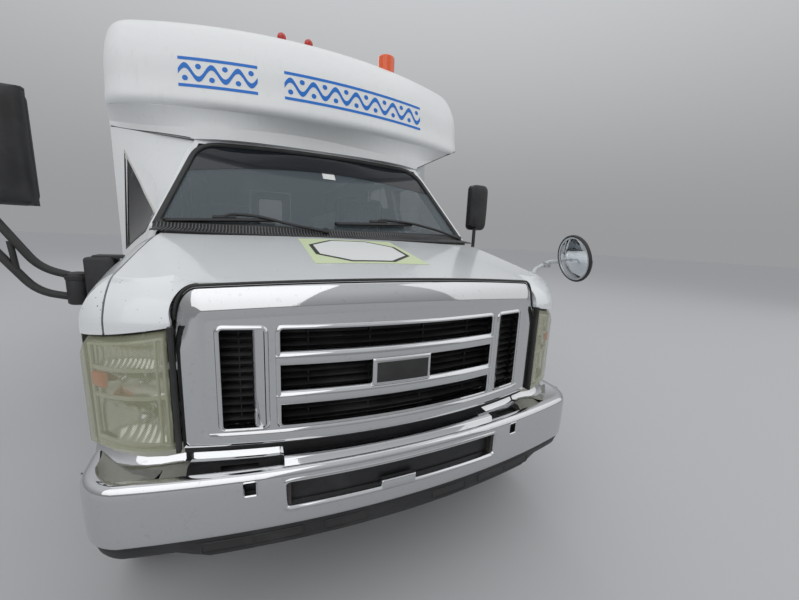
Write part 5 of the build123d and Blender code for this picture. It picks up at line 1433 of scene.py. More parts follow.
def seal(corners, face, out, section, radius):
    """Rubber section round an opening whose corners are points on a face."""
    path = loop_bend([face(*corner) for corner in corners], radius)
    return sweep(path, section, out, closed=True)


RUBBER = ((-0.012, -0.002), (-0.011, 0.003), (-0.004, 0.0055), (0.004, 0.0055), (0.011, 0.003), (0.012, -0.002))
RAIL = (
    (-0.022, 0.0), (-0.022, 0.006), (-0.016, 0.010), (-0.008, 0.010), (-0.006, 0.006), (0.006, 0.006), (0.008, 0.010),
    (0.016, 0.010), (0.022, 0.006), (0.022, 0.0))
SIDE_RUNS = {-1: ((1.74, 1.78), (2.62, 4.20), (5.10, 6.84)), 1: ((2.22, 4.20), (5.10, 6.84))}


def make_rails():
    """Rub rails, skirt rails, panel joints with rivets, and arch flares on both sides."""
    rails = Form("body_rails")
    joints = Form("body_joints")
    for side in (-1, 1):
        out = (side, 0, 0)
        for start, end in SIDE_RUNS[side]:
            if end - start > 0.2:
                rails.add("bare_aluminium", sweep(
                    side_path(side, [(start, BELT_RAIL_Z), (end, BELT_RAIL_Z)], BODY_X - 0.001), RAIL, out))
                rails.add("black_trim", sweep(
                    side_path(side, [(start + 0.01, BELT_RAIL_Z), (end - 0.01, BELT_RAIL_Z)], BODY_X + 0.0055),
                    oblong(0.0055, 0.002, 0.001), out))
            rails.add("bare_aluminium", sweep(
                side_path(side, [(start, SKIRT_RAIL_Z), (end, SKIRT_RAIL_Z)], BODY_X - 0.001),
                oblong(0.011, 0.004, 0.002), out))
        arch = [
            (REAR_AXLE + ARCH_R * math.cos(a), TYRE_R + ARCH_R * math.sin(a))
            for a in steps(math.radians(4), math.radians(176), most=0.12)]
        flare = ((-0.012, -0.002), (-0.012, 0.006), (-0.004, 0.016), (0.010, 0.018), (0.020, 0.008), (0.022, -0.002))
        rails.add("black_trim", sweep(side_path(side, arch, BODY_X), flare, out))
        stations = (2.66, 2.90, 4.60, 5.70) if side < 0 else (2.90, 4.00, 5.20, 6.10)
        for station in stations:
            low = 0.88 if not 4.2 < station < 5.12 else 0.90
            joints.add("white_panel", sweep(
                side_path(side, [(station, low), (station, 2.290)]), oblong(0.018, 0.0016, 0.0008), out))
            for i in range(12):
                z = low + 0.06 + i * (2.24 - low) / 12
                place = at(side * (BODY_X + 0.0014), station, z)
                joints.add("bare_aluminium", lathe(
                    ((0.0, 0.0048), (0.0012, 0.004), (0.0020, 0.0022), (0.0022, 0.0)), place, out, 10))
        path = side_path(side, [(1.76 if side < 0 else 2.24, 2.300), (6.85, 2.300)])
        joints.add("white_panel", sweep(
            path, ((-0.016, 0.0), (-0.014, 0.004), (0.006, 0.004), (0.014, 0.012), (0.018, 0.011), (0.014, 0.0)), out))
    for station in (3.5, 4.65, 5.8):
        quarter = steps(0.0, math.pi / 2, most=0.2)
        roof = [at(side * (1.019 + ROOF_EDGE_R * math.cos(a)), station, ROOF_EDGE_Z + ROOF_EDGE_R * math.sin(a))
                for side, turns in ((-1, quarter), (1, reversed(quarter))) for a in turns]
        joints.add("sealant", sweep(
            roof, oblong(0.014, 0.0018, 0.0008), lambda p: Vector((p.x * 0.25, 0, p.z - 1.9)).normalized()))
    rails.done()
    joints.done()


def make_entry_trim():
    """Frame round the folding door, and the rubbers, hinges and grab bar of its leaves."""
    frame_form = Form("entry_frame")
    run = [at(-BODY_X, *corner) for corner in ((1.778, 0.405), (1.778, 2.252), (2.622, 2.252), (2.622, 0.405))]
    frame_form.add("bare_aluminium", sweep(
        run, ((-0.014, 0.0), (-0.013, 0.005), (0.004, 0.007), (0.011, 0.005), (0.012, 0.0)), CURB_OUT))
    frame_form.add("white_panel", rounded_box(
        at(-BODY_X - 0.012, 1.80, 2.262), at(-BODY_X + 0.001, 2.60, 2.286), 0.004))
    frame_form.done()
    for name, front, rear in (("front", 1.795, 2.198), ("rear", 2.203, 2.605)):
        form = Form(f"entry_trim_{name}")
        for low, high in ((0.560, 1.180), (1.240, 2.150)):
            for face_x, out in ((-BODY_X, CURB_OUT), (-BODY_X + 0.036, DRIVER_OUT)):
                corners = [(front + 0.060, low), (rear - 0.060, low), (rear - 0.060, high), (front + 0.060, high)]
                form.add("black_trim", seal(
                    corners, lambda y, z: at(face_x, y, z), out, [(a, b * 0.7) for a, b in RUBBER], 0.03))
        meeting = rear - 0.004 if name == "front" else front + 0.004
        form.add("black_trim", sweep(
            side_path(-1, [(meeting, 0.425), (meeting, 2.230)], BODY_X + 0.001), oblong(0.004, 0.0035, 0.001),
            CURB_OUT))
        hinge = front + 0.010 if name == "front" else rear - 0.010
        for z in (0.60, 1.21, 2.08):
            form.add("bare_aluminium", sweep(
                [at(-BODY_X + 0.001, hinge, z - 0.05), at(-BODY_X + 0.001, hinge, z + 0.05)], circle(0.0055, 12),
                CURB_OUT))
        if name == "front":
            bow = [
                at(-BODY_X + depth, 2.165, z)
                for depth, z in ((0.036, 0.95), (0.075, 0.95), (0.075, 1.42), (0.036, 1.42))]
            form.add("bare_aluminium", bar(bend(bow, 0.03), 0.010))
        form.done(body=f"entry_leaf_{name}")


def make_serving_trim():
    """Trim of the serving hatch, stiffeners and latches of its flap, and edges of its shelf."""
    form = Form("hatch_trim")
    run = [(2.990, 1.240), (4.510, 1.240), (4.510, 2.110), (2.990, 2.110)]
    section = ((-0.012, 0.0), (-0.011, 0.003), (0.002, 0.0045), (0.010, 0.003), (0.011, 0.0))
    form.add("bare_aluminium", seal(run, lambda y, z: at(-BODY_X, y, z), CURB_OUT, section, 0.03))
    form.add("bare_aluminium", sweep(
        [at(-BODY_X - 0.003, 3.02, 2.112), at(-BODY_X - 0.003, 4.48, 2.112)], circle(0.006, 12), CURB_OUT))
    gutter = ((-0.008, 0.0), (-0.008, 0.003), (0.010, 0.020), (0.013, 0.019), (0.000, 0.003), (0.004, 0.0))
    form.add("bare_aluminium", sweep([at(-BODY_X, 2.95, 2.150), at(-BODY_X, 4.55, 2.150)], gutter, CURB_OUT))
    form.done()
    flap = Form("flap_trim")
    for station in (3.10, 3.75, 4.40):
        flap.add("white_panel", pillow(
            steps(station - 0.03, station + 0.03, most=0.02), steps(1.300, 2.050),
            lambda y, z, d: at(FLAP_X - 0.006 + d, y, z), 0.006, 0.007))
    flap.add("bare_aluminium", seal(
        [(3.012, 1.262), (4.488, 1.262), (4.488, 2.088), (3.012, 2.088)], lambda y, z: at(FLAP_X + 0.0005, y, z),
        CURB_OUT, oblong(0.010, 0.0025, 0.001), 0.03))
    for station in (3.30, 4.20):
        flap.add("steel_sheet", pillow(
            steps(station - 0.045, station + 0.045, most=0.03), steps(1.275, 1.335, most=0.02),
            lambda y, z, d: at(FLAP_X - 0.007 + d, y, z), 0.005, 0.009))
        flap.add("steel_sheet", lathe(
            ((0.0, 0.016), (0.006, 0.016), (0.008, 0.012), (0.012, 0.008), (0.013, 0.0)),
            at(FLAP_X - 0.006, station, 1.305), CURB_OUT, 24))
    flap.done(body="awning_flap")
    shelf = Form("shelf_trim")
    for z in (0.895, 1.195):
        shelf.add("bare_aluminium", sweep(
            [at(SHELF_EDGE_X, 3.102, z), at(SHELF_EDGE_X, 4.398, z)],
            ((-0.006, -0.001), (-0.005, 0.002), (0.005, 0.002), (0.006, -0.001)), CURB_OUT))
    for station in (3.25, 3.75, 4.25):
        shelf.add("steel_sheet", pillow(
            steps(station - 0.014, station + 0.014, most=0.01), steps(0.96, 1.18),
            lambda y, z, d: at(-1.2525 + d, y, z), 0.002, 0.003))
    shelf.done(body="counter_shelf")


# Width and height of the driver's door's skin, from its sill to its top
DOOR_PROFILE = ((0.990, 0.470), (1.010, 0.820), (1.006, 1.240), (0.812, 1.925))


def door_face(station, z, lift=0.0):
    """A point on the driver's door."""
    for (x0, z0), (x1, z1) in zip(DOOR_PROFILE, DOOR_PROFILE[1:]):
        if z <= z1 or (x1, z1) == DOOR_PROFILE[-1]:
            x = x0 + (x1 - x0) * (z - z0) / (z1 - z0)
            return at(x + lift, station, z)


def door_out(point):
    """Direction out of the driver's door at a point."""
    return Vector((0.962, 0, 0.272)) if point.z > 1.24 else Vector((1, 0, 0))


def make_door_trim():
    """Rubber, strips, handle and lock of the driver's door, then the window and the filler flap behind it."""
    form = Form("driver_door_trim")
    corners = [(1.190, 1.285), (2.060, 1.285), (2.060, 1.820), (1.580, 1.820), (1.190, 1.420)]
    form.add("black_trim", seal(corners, door_face, door_out, [(a, b * 0.8) for a, b in RUBBER], 0.03))
    form.add("black_trim", sweep(
        [door_face(1.17, 1.262), door_face(2.10, 1.262)], oblong(0.007, 0.004, 0.001), door_out))
    moulding = [door_face(y, 0.800) for y in (1.09, 1.6, 2.13)]
    form.add("black_trim", sweep(
        moulding, ((-0.024, -0.001), (-0.020, 0.005), (-0.008, 0.009), (0.008, 0.009), (0.020, 0.005), (0.024, -0.001)),
        DRIVER_OUT))
    cup = [door_face(y, z) for y, z in round_rect(1.960, 2.080, 1.145, 1.190, 0.020, 0.03)]
    form.add("black_plastic", sweep(cup, oblong(0.004, 0.003, 0.001), DRIVER_OUT, closed=True))
    form.add("black_plastic", patch(
        round_rect(1.962, 2.078, 1.147, 1.188, 0.018, 0.03), lambda y, z: door_face(y, z, 0.0008), 2))
    grip = [
        door_face(*spot)
        for spot in ((1.972, 1.170, 0.002), (1.985, 1.172, 0.024), (2.055, 1.172, 0.024), (2.068, 1.170, 0.002))]
    form.add("black_plastic", sweep(bend(grip, 0.015), oblong(0.011, 0.005, 0.003), (0, 0, 1)))
    form.add("chrome", lathe(
        ((0.0, 0.012), (0.003, 0.012), (0.004, 0.009), (0.0045, 0.0)), door_face(2.02, 1.115), DRIVER_OUT, 20))
    for z in (0.64, 1.10):
        form.add("white_paint", sweep(
            [door_face(1.068, z - 0.035, 0.002), door_face(1.068, z + 0.035, 0.002)], circle(0.007, 12), DRIVER_OUT))
    form.done(body="driver_door")
    body = Form("driver_side_trim")
    window = [(3.000, 1.450), (3.900, 1.450), (3.900, 2.050), (3.000, 2.050)]
    body.add("black_trim", seal(window, lambda y, z: at(BODY_X, y, z), DRIVER_OUT, RUBBER, 0.075))
    body.add("bare_aluminium", sweep(
        [at(BODY_X - 0.018, 3.45, 1.47), at(BODY_X - 0.018, 3.45, 2.03)], oblong(0.010, 0.004, 0.001), DRIVER_OUT))
    body.add("bare_aluminium", sweep(
        [at(BODY_X - 0.018, 3.03, 1.76), at(BODY_X - 0.018, 3.87, 1.76)], oblong(0.006, 0.003, 0.001), DRIVER_OUT))
    filler = at(BODY_X + 0.0005, 5.95, 0.62)
    body.add("white_panel", pillow(
        steps(5.86, 6.04, most=0.03), steps(0.53, 0.71, most=0.03), lambda y, z, d: at(BODY_X + 0.006 - d, y, z), 0.005,
        0.006))
    body.add("black_plastic", lathe(
        ((0.004, 0.026), (0.007, 0.024), (0.008, 0.018), (0.008, 0.0)), filler, DRIVER_OUT, 24))
    body.done()


def make_rear_trim():
    """Fittings of the rear door, bezels of the lamps, a blank plate, the bumper's tread and the mud flaps."""
    door = Form("rear_door_trim")

    def rear_face(x, z, lift=0.0):
        return at(x, REAR_WALL + lift, z)

    path = [(-0.240, 1.550), (0.240, 1.550), (0.240, 2.080), (-0.240, 2.080)]
    door.add("black_trim", seal(path, rear_face, REAR_OUT, RUBBER, 0.07))
    for z in (1.05, 1.62, 2.10):
        x = -0.380
        door.add("steel_sheet", sweep(
            [rear_face(x, z - 0.045, 0.004), rear_face(x, z + 0.045, 0.004)], circle(0.008, 14), REAR_OUT))
        door.add("steel_sheet", pillow(
            steps(x, x + 0.09, most=0.02), steps(z - 0.035, z + 0.035, most=0.02),
            lambda u, v, d: rear_face(u, v, 0.004 - d), 0.003, 0.004))
        for shift in (0.035, 0.070):
            door.add("bare_aluminium", lathe(
                ((0.0, 0.006), (0.0025, 0.005), (0.004, 0.0)), rear_face(x + shift, z, 0.004), REAR_OUT, 12))
    door.add("steel_sheet", pillow(
        steps(0.300, 0.352, most=0.02), steps(1.36, 1.52, most=0.03), lambda u, v, d: rear_face(u, v, 0.006 - d), 0.004,
        0.006))
    pull = [rear_face(0.326, z, lift) for z, lift in ((1.385, 0.004), (1.385, 0.045), (1.495, 0.045), (1.495, 0.004))]
    door.add("bare_aluminium", bar(bend(pull, 0.02), 0.007))
    door.add("black_trim", seal(
        [(-0.388, 0.862), (0.388, 0.862), (0.388, 2.218), (-0.388, 2.218)], rear_face, REAR_OUT,
        oblong(0.006, 0.002, 0.001), 0.03))
    door.done(body="rear_door")
    form = Form("rear_trim")
    for side in (-1, 1):
        for x0, x1, z0, z1, out in ((0.900, 1.100, 0.900, 1.000, 0.022), (0.950, 1.060, 2.450, 2.490, 0.018)):
            low, high = sorted((side * x0, side * x1))
            corners = [(low, z0), (high, z0), (high, z1), (low, z1)]
            form.add("black_trim", seal(
                corners, rear_face, REAR_OUT,
                ((-0.006, 0.0), (-0.005, 0.016), (0.004, 0.018), (0.009, 0.010), (0.010, 0.0)), 0.01))
            for i in range(1, 4):
                x = low + (high - low) * i / 4
                form.add("red_lens", sweep(
                    [rear_face(x, z0 + 0.006, out), rear_face(x, z1 - 0.006, out)], oblong(0.002, 0.0015, 0.0005),
                    REAR_OUT))
        corner = [at(side * 1.2185, 6.8955, z) for z in (0.405, 1.2, 2.0, 2.555)]
        form.add("bare_aluminium", sweep(
            corner, ((-0.010, -0.002), (-0.006, 0.002), (0.006, 0.002), (0.010, -0.002)), (side, 1, 0)))
    form.add("plate_blank", pillow(
        steps(-0.152, 0.152), steps(0.440, 0.568, most=0.03), lambda x, z, d: at(x, 6.9605 - d, z), 0.002, 0.0025))
    for side in (-1, 1):
        form.add("bare_aluminium", lathe(
            ((0.0, 0.006), (0.002, 0.006), (0.004, 0.003), (0.0042, 0.0)), at(side * 0.0889, 6.960, 0.505), REAR_OUT,
            6))
    for i in range(-11, 12):
        for station in (6.905, 6.935):
            tread = [at(i * 0.10 + shift, station, 0.5805) for shift in (-0.035, 0.035)]
            form.add("black_trim", sweep(tread, oblong(0.0035, 0.002, 0.001), (0, 0, 1)))
    form.done()
    flaps = Form("mud_flaps")
    for side in (-1, 1):
        inner, outer = sorted((side * 0.70, side * 1.16))
        flaps.add("black_trim", pillow(
            steps(inner, outer), steps(0.200, 0.700), lambda x, z, d: at(x, 5.150 + 0.03 * (0.70 - z) + d, z), 0.004,
            0.008))
    flaps.done()


FAIRING_OUT = (-0.88, -0.47, 0)


def fairing_face(station, z, lift=0.0):
    """A point on the ruled skin of the fairing."""
    t = 0.5
    for _ in range(12):
        front_y, front_z = 0.975 + 0.487 * t, 1.310 + 0.604 * t
        s = (station - front_y) / (1.714 - front_y)
        t += (z - front_z - (1.150 + 0.835 * t - front_z) * s) / (0.604 + 0.231 * s)
    x = (-0.926 + 0.162 * t) * (1 - s) - 1.219 * s
    return at(x + FAIRING_OUT[0] * lift, station + FAIRING_OUT[1] * lift, z)


QUARTER_EDGE = (
    (1.655, 1.836), (1.619, 1.773), (1.573, 1.711), (1.511, 1.648), (1.429, 1.580), (1.318, 1.519), (1.194, 1.471),
    (1.160, 1.455), (1.150, 1.362))


def make_fairing_trim():
    """Filler, light bevel, rubber and dark film of the quarter window."""
    form = Form("quarter_trim")
    over = (
        (1.662, 1.848), (1.640, 1.828), (1.583, 1.785), (1.500, 1.724), (1.400, 1.651), (1.300, 1.577), (1.190, 1.492),
        (1.150, 1.470), (1.140, 1.362))
    form.add("white_gelcoat", grid(
        range(len(over)), (0, 1), lambda i, j: fairing_face(*(QUARTER_EDGE[i] if j else over[i]), -0.0005)))
    edge = [fairing_face(*p, 0.001) for p in QUARTER_EDGE[:8]]
    form.add("sealant", sweep(
        edge, ((-0.008, -0.010), (-0.006, 0.001), (0.0, 0.003), (0.007, 0.001), (0.008, -0.004)), FAIRING_OUT))
    outline = list(QUARTER_EDGE) + [(1.592, 1.248)]
    closed = [fairing_face(*p) for p in dense(outline, 0.04)]
    bead = ((-0.006, -0.006), (-0.005, 0.001), (0.0, 0.0025), (0.005, 0.001), (0.006, -0.006))
    form.add("black_trim", sweep(closed, bead, FAIRING_OUT, closed=True))
    form.add("dark_film", patch(dense(outline, 0.04), lambda y, z: fairing_face(y, z, -0.007), 4))
    form.done()


# Inside

CUSHION_VOXEL = 0.005
CUSHION_PRESSURE = 4.0
CUSHION_FRAMES = 20
CUSHION_REACH = 0.026


def stuffed(name, low, high, edge):
    """A cushion: a rounded block of cloth, swollen by a pressure simulation, with its movement capped."""
    mesh = bpy.data.meshes.new(name)
    part = rounded_box(low, high, edge, 3)
    part.to_mesh(mesh)
    part.free()
    cushion = bpy.data.objects.new(name, mesh)
    bpy.context.scene.collection.objects.link(cushion)
    bpy.context.view_layer.objects.active = cushion
    remesh = cushion.modifiers.new("even", "REMESH")
    remesh.mode = "VOXEL"
    remesh.voxel_size = CUSHION_VOXEL
    bpy.context.view_layer.update()
    depsgraph = bpy.context.evaluated_depsgraph_get()
    even = bpy.data.meshes.new_from_object(cushion.evaluated_get(depsgraph))
    cushion.modifiers.remove(remesh)
    cushion.data = even
    rest = [vert.co.copy() for vert in even.vertices]
    cloth = cushion.modifiers.new("stuffing", "CLOTH")
    cloth.settings.quality = 5
    cloth.settings.mass = 0.3
    cloth.settings.use_pressure = True
    cloth.settings.uniform_pressure_force = CUSHION_PRESSURE
    cloth.settings.effector_weights.gravity = 0.0
    cloth.settings.tension_stiffness = 12
    cloth.settings.bending_stiffness = 0.6
    cloth.point_cache.frame_start = 1
    cloth.point_cache.frame_end = CUSHION_FRAMES
    scene = bpy.context.scene
    for number in range(1, CUSHION_FRAMES + 1):
        scene.frame_set(number)
    depsgraph = bpy.context.evaluated_depsgraph_get()
    swollen = bpy.data.meshes.new_from_object(cushion.evaluated_get(depsgraph))
    cushion.modifiers.remove(cloth)
    scene.frame_set(1)
    for vert, start in zip(swollen.vertices, rest):
        move = vert.co - start
        if move.length > CUSHION_REACH:
            vert.co = start + move.normalized() * CUSHION_REACH
    cushion.data = swollen
    for face in cushion.data.polygons:
        face.use_smooth = True
    return cushion


def make_seat():
    """Driver's seat: cushions with piped seams over a moulded base."""
    base = Form("seat_base")
    base.add("black_plastic", rounded_box(at(0.245, 1.575, 0.742), at(0.705, 2.035, 0.925), 0.018, 3))
    base.add("black_plastic", rounded_box(at(0.260, 2.035, 0.93), at(0.690, 2.078, 1.70), 0.016, 3))
    for x in (0.300, 0.650):
        base.add("steel_sheet", rounded_box(at(x - 0.018, 1.580, 0.740), at(x + 0.018, 2.045, 0.752), 0.003))
    base.done(replaces=("seat",))
    for name, low, high, edge in (
        ("seat_cushion", at(0.256, 1.586, 0.942), at(0.694, 1.972, 1.052), 0.030),
        ("seat_back", at(0.264, 1.985, 1.066), at(0.686, 2.048, 1.724), 0.026),
    ):
        cushion = stuffed(name, low, high, edge)
        cushion.data.materials.clear()
        cushion.data.materials.append(Finish.made["seat_fabric"])
        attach(cushion, TRUCK)
    piping = Form("seat_piping")
    flat = [at(x, y, 1.050) for x, y in round_rect(0.262, 0.688, 1.592, 1.966, 0.04)]
    piping.add("black_trim", sweep(flat, circle(0.0035, 8), (0, 0, 1), closed=True))
    upright = [at(x, 1.987, z) for x, z in round_rect(0.270, 0.680, 1.072, 1.718, 0.06)]
    piping.add("black_trim", sweep(upright, circle(0.0035, 8), (0, -1, 0), closed=True))
    piping.done()


def make_cab_inside():
    """Hood over the gauges, wheel boss, vents, pedals and a grey box on the curb side."""
    form = Form("cab_inside")
    hood_path = [at(x, 1.005, 1.330) for x in (0.30, 0.65)]
    section = (
        (-0.10, -0.01), (-0.10, 0.035), (0.0, 0.060), (0.13, 0.062), (0.17, 0.050), (0.17, 0.040), (0.02, 0.040),
        (0.02, -0.01))
    form.add("black_plastic", sweep(hood_path, section, (0, 0, 1)))
    for x in (0.395, 0.475, 0.555):
        form.add("grey_plastic", lathe(
            ((0.0, 0.032), (0.004, 0.032), (0.005, 0.028), (0.002, 0.027), (0.002, 0.0)), at(x, 1.2605, 1.275),
            (0, 1, 0), 28))
    for x in (-0.65, -0.25, 0.20, 0.72):
        for i in range(4):
            path = [at(x - 0.045, 1.262, 1.262 + i * 0.012), at(x + 0.045, 1.262, 1.262 + i * 0.012)]
            form.add("black_plastic", sweep(path, oblong(0.002, 0.004, 0.001), (0, 1, 0.4)))
    form.add("black_plastic", lathe(
        ((-0.006, 0.060), (0.014, 0.056), (0.020, 0.046), (0.022, 0.0)), at(0.475, 1.400, 1.330), (0, 0.866, 0.5), 32))
    for x, z in ((0.40, 0.83), (0.53, 0.85), (0.64, 0.82)):
        form.add("black_trim", rounded_box(at(x - 0.030, 1.100, z), at(x + 0.030, 1.118, z + 0.070), 0.006))
        form.add("steel_sheet", bar([at(x, 1.106, z + 0.06), at(x, 1.03, z + 0.22)], 0.007))
    form.add("grey_plastic", rounded_box(at(-0.62, 0.958, 1.072), at(-0.30, 0.990, 1.20), 0.006))
    form.done()


def make_galley_trim():
    """Sliding lids of the freezer, the counter's nosing and the drawers' pulls."""
    form = Form("galley_trim")
    for start in (4.66, 5.37):
        corners = [(start, -1.055), (start + 0.68, -1.055), (start + 0.68, -0.465), (start, -0.465)]
        path = loop_bend([at(x, y, 1.744) for y, x in corners], 0.03)
        form.add("bare_aluminium", sweep(path, oblong(0.012, 0.006, 0.002), (0, 0, 1), closed=True))
        form.add("bare_aluminium", rounded_box(at(-0.80, start + 0.03, 1.748), at(-0.68, start + 0.05, 1.762), 0.004))
    form.add("steel_sheet", sweep(
        [at(0.699, 2.702, 1.708), at(0.699, 6.198, 1.708)],
        ((-0.013, 0.0), (-0.011, 0.004), (0.011, 0.004), (0.013, 0.0)), (-1, 0, 0)))
    for i in range(6):
        station = 2.95 + i * 0.58
        form.add("steel_sheet", pillow(
            steps(station - 0.255, station + 0.255, most=0.1), steps(0.93, 1.66, most=0.1),
            lambda y, z, d: at(0.6955 + d, y, z), 0.003, 0.004))
        grip = [
            at(x, station + shift, 1.58) for x, shift in ((0.694, -0.06), (0.672, -0.06), (0.672, 0.06), (0.694, 0.06))]
        form.add("bare_aluminium", bar(bend(grip, 0.012), 0.005))
    form.done()


# Stage

STUDIO_LEVEL = 0.64
FLOOR_HALF = 60.0
# Each lamp's place, width and watts
LAMPS = {
    "key": ((-6.0, -9.0, 8.0), 12.0, 400.0),
    "fill": ((9.0, -6.0, 6.0), 10.0, 160.0),
    "top": ((0.0, 0.0, 10.0), 12.0, 130.0),
    "rear": ((3.0, 12.0, 7.0), 6.0, 220.0),
}


def make_stage():
    """Pale floor, a backdrop that brightens upwards, and four large lamps."""
    scene = bpy.context.scene
    colour = tuple(scene.truck_colours.backdrop)
    floor = bpy.data.meshes.new("floor")
    corners = [(x * FLOOR_HALF, y * FLOOR_HALF, 0) for x, y in ((-1, -1), (1, -1), (1, 1), (-1, 1))]
    floor.from_pydata(corners, [], [(0, 1, 2, 3)])
    obj = bpy.data.objects.new("floor", floor)
    scene.collection.objects.link(obj)
    f = Finish("studio_floor", Roughness=0.9, Specular_IOR_Level=0.1)
    f.set(Base_Color=colour)
    floor.materials.append(f.material)
    world = bpy.data.worlds.new("studio")
    scene.world = world
    world.use_nodes = True
    sky = Network(world.node_tree, "Background")
    height = sky.axis("Z", sky.node("ShaderNodeTexCoord", {}, {}, "Generated"))
    sky.set(Color=sky.mix(sky.band(height, 0.02, 0.75), colour, (1.0, 1.02, 1.05)), Strength=STUDIO_LEVEL)
    for name, (place, size, power) in LAMPS.items():
        light = bpy.data.lights.new(name, "AREA")
        light.energy = power
        light.size = size
        lamp = bpy.data.objects.new(name, light)
        lamp.location = place
        lamp.rotation_euler = (Vector((0, 0, 1)) - Vector(place)).to_track_quat("-Z", "Y").to_euler()
        scene.collection.objects.link(lamp)


def make_camera():
    """Camera at the photograph's viewpoint."""
    settings = bpy.context.scene.truck_camera
    data = bpy.data.cameras.new("photo")
    data.lens = settings.lens
    data.sensor_width = 36.0
    camera = bpy.data.objects.new("photo", data)
    turn = Matrix.Rotation(-settings.heading, 4, "Z") @ Matrix.Rotation(math.pi / 2 - settings.dip, 4, "X")
    camera.matrix_world = Matrix.Translation(settings.place) @ turn @ Matrix.Rotation(settings.roll, 4, "Z")
    bpy.context.scene.collection.objects.link(camera)
    bpy.context.scene.camera = camera


class TRUCK_OT_finishes(bpy.types.Operator):
    """Make the finishes and give them to the frame"""

    bl_idname = "truck.finishes"
    bl_label = "Finishes"

    def execute(self, context):
        make_finishes()
        dress_frame()
        return {"FINISHED"}


class TRUCK_OT_stage(bpy.types.Operator):
    """Set the floor, the lamps and the camera"""

    bl_idname = "truck.stage"
    bl_label = "Stage"

    def execute(self, context):
        make_camera()
        make_stage()
        context.scene.view_settings.view_transform = "Standard"
        return {"FINISHED"}


class TRUCK_OT_grille(bpy.types.Operator):
    """Chrome surround, its slats and the panels round it"""

    bl_idname = "truck.grille"
    bl_label = "Grille"

    def execute(self, context):
        make_grille()
        make_louvres()
        make_nose_fill()
        return {"FINISHED"}


class TRUCK_OT_headlamps(bpy.types.Operator):
    """Lenses, bowls and bulbs of the headlamps"""

    bl_idname = "truck.headlamps"
    bl_label = "Headlamps"

    def execute(self, context):
        make_headlamps()
        return {"FINISHED"}


class TRUCK_OT_bumper(bpy.types.Operator):
    """Chrome bumper with its mouth and steps"""

    bl_idname = "truck.bumper"
    bl_label = "Bumper"

    def execute(self, context):
        make_bumper()
        make_valance()
        return {"FINISHED"}


class TRUCK_OT_hood_decal(bpy.types.Operator):
    """Blank decal on the hood"""

    bl_idname = "truck.hood_decal"
    bl_label = "Hood Decal"

    def execute(self, context):
        make_decal()
        return {"FINISHED"}


class TRUCK_OT_cap(bpy.types.Operator):
    """Ornament, joints and beads of the front cap"""

    bl_idname = "truck.cap"
    bl_label = "Cap"

    def execute(self, context):
        make_ornament()
        make_cap_seams()
        return {"FINISHED"}


class TRUCK_OT_windscreen(bpy.types.Operator):
    """Rubber, tint band, wipers and cowl"""

    bl_idname = "truck.windscreen"
    bl_label = "Windscreen"

    def execute(self, context):
        make_screen_trim()
        make_wipers()
        make_cowl_ribs()
        return {"FINISHED"}


class TRUCK_OT_mirrors(bpy.types.Operator):
    """Mirrors on the fenders and on the door"""

    bl_idname = "truck.mirrors"
    bl_label = "Mirrors"

    def execute(self, context):
        make_fender_mirrors()
        make_door_mirror()
        return {"FINISHED"}


class TRUCK_OT_tyres(bpy.types.Operator):
    """Treaded tyres and the wheels' nuts, caps and beads"""

    bl_idname = "truck.tyres"
    bl_label = "Tyres"

    def execute(self, context):
        make_tyres()
        make_wheel_trim()
        return {"FINISHED"}


class TRUCK_OT_rails(bpy.types.Operator):
    """Rails, joints, rivets and arch flares of the body"""

    bl_idname = "truck.rails"
    bl_label = "Rails and Joints"

    def execute(self, context):
        make_rails()
        return {"FINISHED"}


class TRUCK_OT_entry(bpy.types.Operator):
    """Frame, seals and hinges of the folding door"""

    bl_idname = "truck.entry"
    bl_label = "Entry Door"

    def execute(self, context):
        make_entry_trim()
        return {"FINISHED"}


class TRUCK_OT_serving(bpy.types.Operator):
    """Trim of the hatch, its flap and its shelf"""

    bl_idname = "truck.serving"
    bl_label = "Serving Hatch"

    def execute(self, context):
        make_serving_trim()
        return {"FINISHED"}


class TRUCK_OT_doors(bpy.types.Operator):
    """Trim of the driver's door and side"""

    bl_idname = "truck.doors"
    bl_label = "Driver's Side"

    def execute(self, context):
        make_door_trim()
        make_fairing_trim()
        return {"FINISHED"}


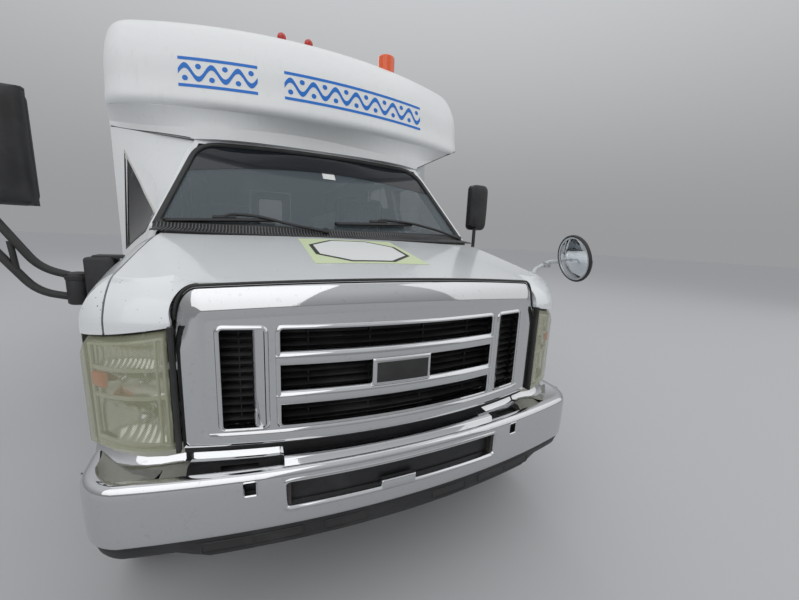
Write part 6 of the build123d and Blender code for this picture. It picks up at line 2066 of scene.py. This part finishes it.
class TRUCK_OT_rear(bpy.types.Operator):
    """Trim of the rear door, lamps, plate and bumper"""

    bl_idname = "truck.rear"
    bl_label = "Rear"

    def execute(self, context):
        make_rear_trim()
        return {"FINISHED"}


class TRUCK_OT_seat(bpy.types.Operator):
    """Cushioned seat of the driver"""

    bl_idname = "truck.seat"
    bl_label = "Seat"

    def execute(self, context):
        make_seat()
        return {"FINISHED"}


class TRUCK_OT_inside(bpy.types.Operator):
    """Fittings of the cab and the galley"""

    bl_idname = "truck.inside"
    bl_label = "Inside"

    def execute(self, context):
        make_cab_inside()
        make_galley_trim()
        return {"FINISHED"}


OPERATORS = (
    TRUCK_OT_finishes,
    TRUCK_OT_grille,
    TRUCK_OT_headlamps,
    TRUCK_OT_bumper,
    TRUCK_OT_hood_decal,
    TRUCK_OT_cap,
    TRUCK_OT_windscreen,
    TRUCK_OT_mirrors,
    TRUCK_OT_tyres,
    TRUCK_OT_rails,
    TRUCK_OT_entry,
    TRUCK_OT_serving,
    TRUCK_OT_doors,
    TRUCK_OT_rear,
    TRUCK_OT_seat,
    TRUCK_OT_inside,
    TRUCK_OT_stage,
)


class TRUCK_PT_panel(bpy.types.Panel):
    """Lists the operators"""

    bl_idname = "TRUCK_PT_panel"
    bl_label = "Ice Cream Truck"
    bl_space_type = "VIEW_3D"
    bl_region_type = "UI"
    bl_category = "Truck"

    def draw(self, context):
        for operator in OPERATORS:
            self.layout.operator(operator.bl_idname)


CLASSES = (TruckSizes, TruckColours, TruckCamera, *OPERATORS, TRUCK_PT_panel)


def register():
    for item in CLASSES:
        bpy.utils.register_class(item)
    bpy.types.Scene.truck_sizes = bpy.props.PointerProperty(type=TruckSizes)
    bpy.types.Scene.truck_colours = bpy.props.PointerProperty(type=TruckColours)
    bpy.types.Scene.truck_camera = bpy.props.PointerProperty(type=TruckCamera)


def unregister():
    del bpy.types.Scene.truck_camera
    del bpy.types.Scene.truck_colours
    del bpy.types.Scene.truck_sizes
    for item in reversed(CLASSES):
        bpy.utils.unregister_class(item)


def main():
    register()
    for operator in OPERATORS:
        group, name = operator.bl_idname.split(".")
        getattr(getattr(bpy.ops, group), name)()


if __name__ == "__main__":
    main()
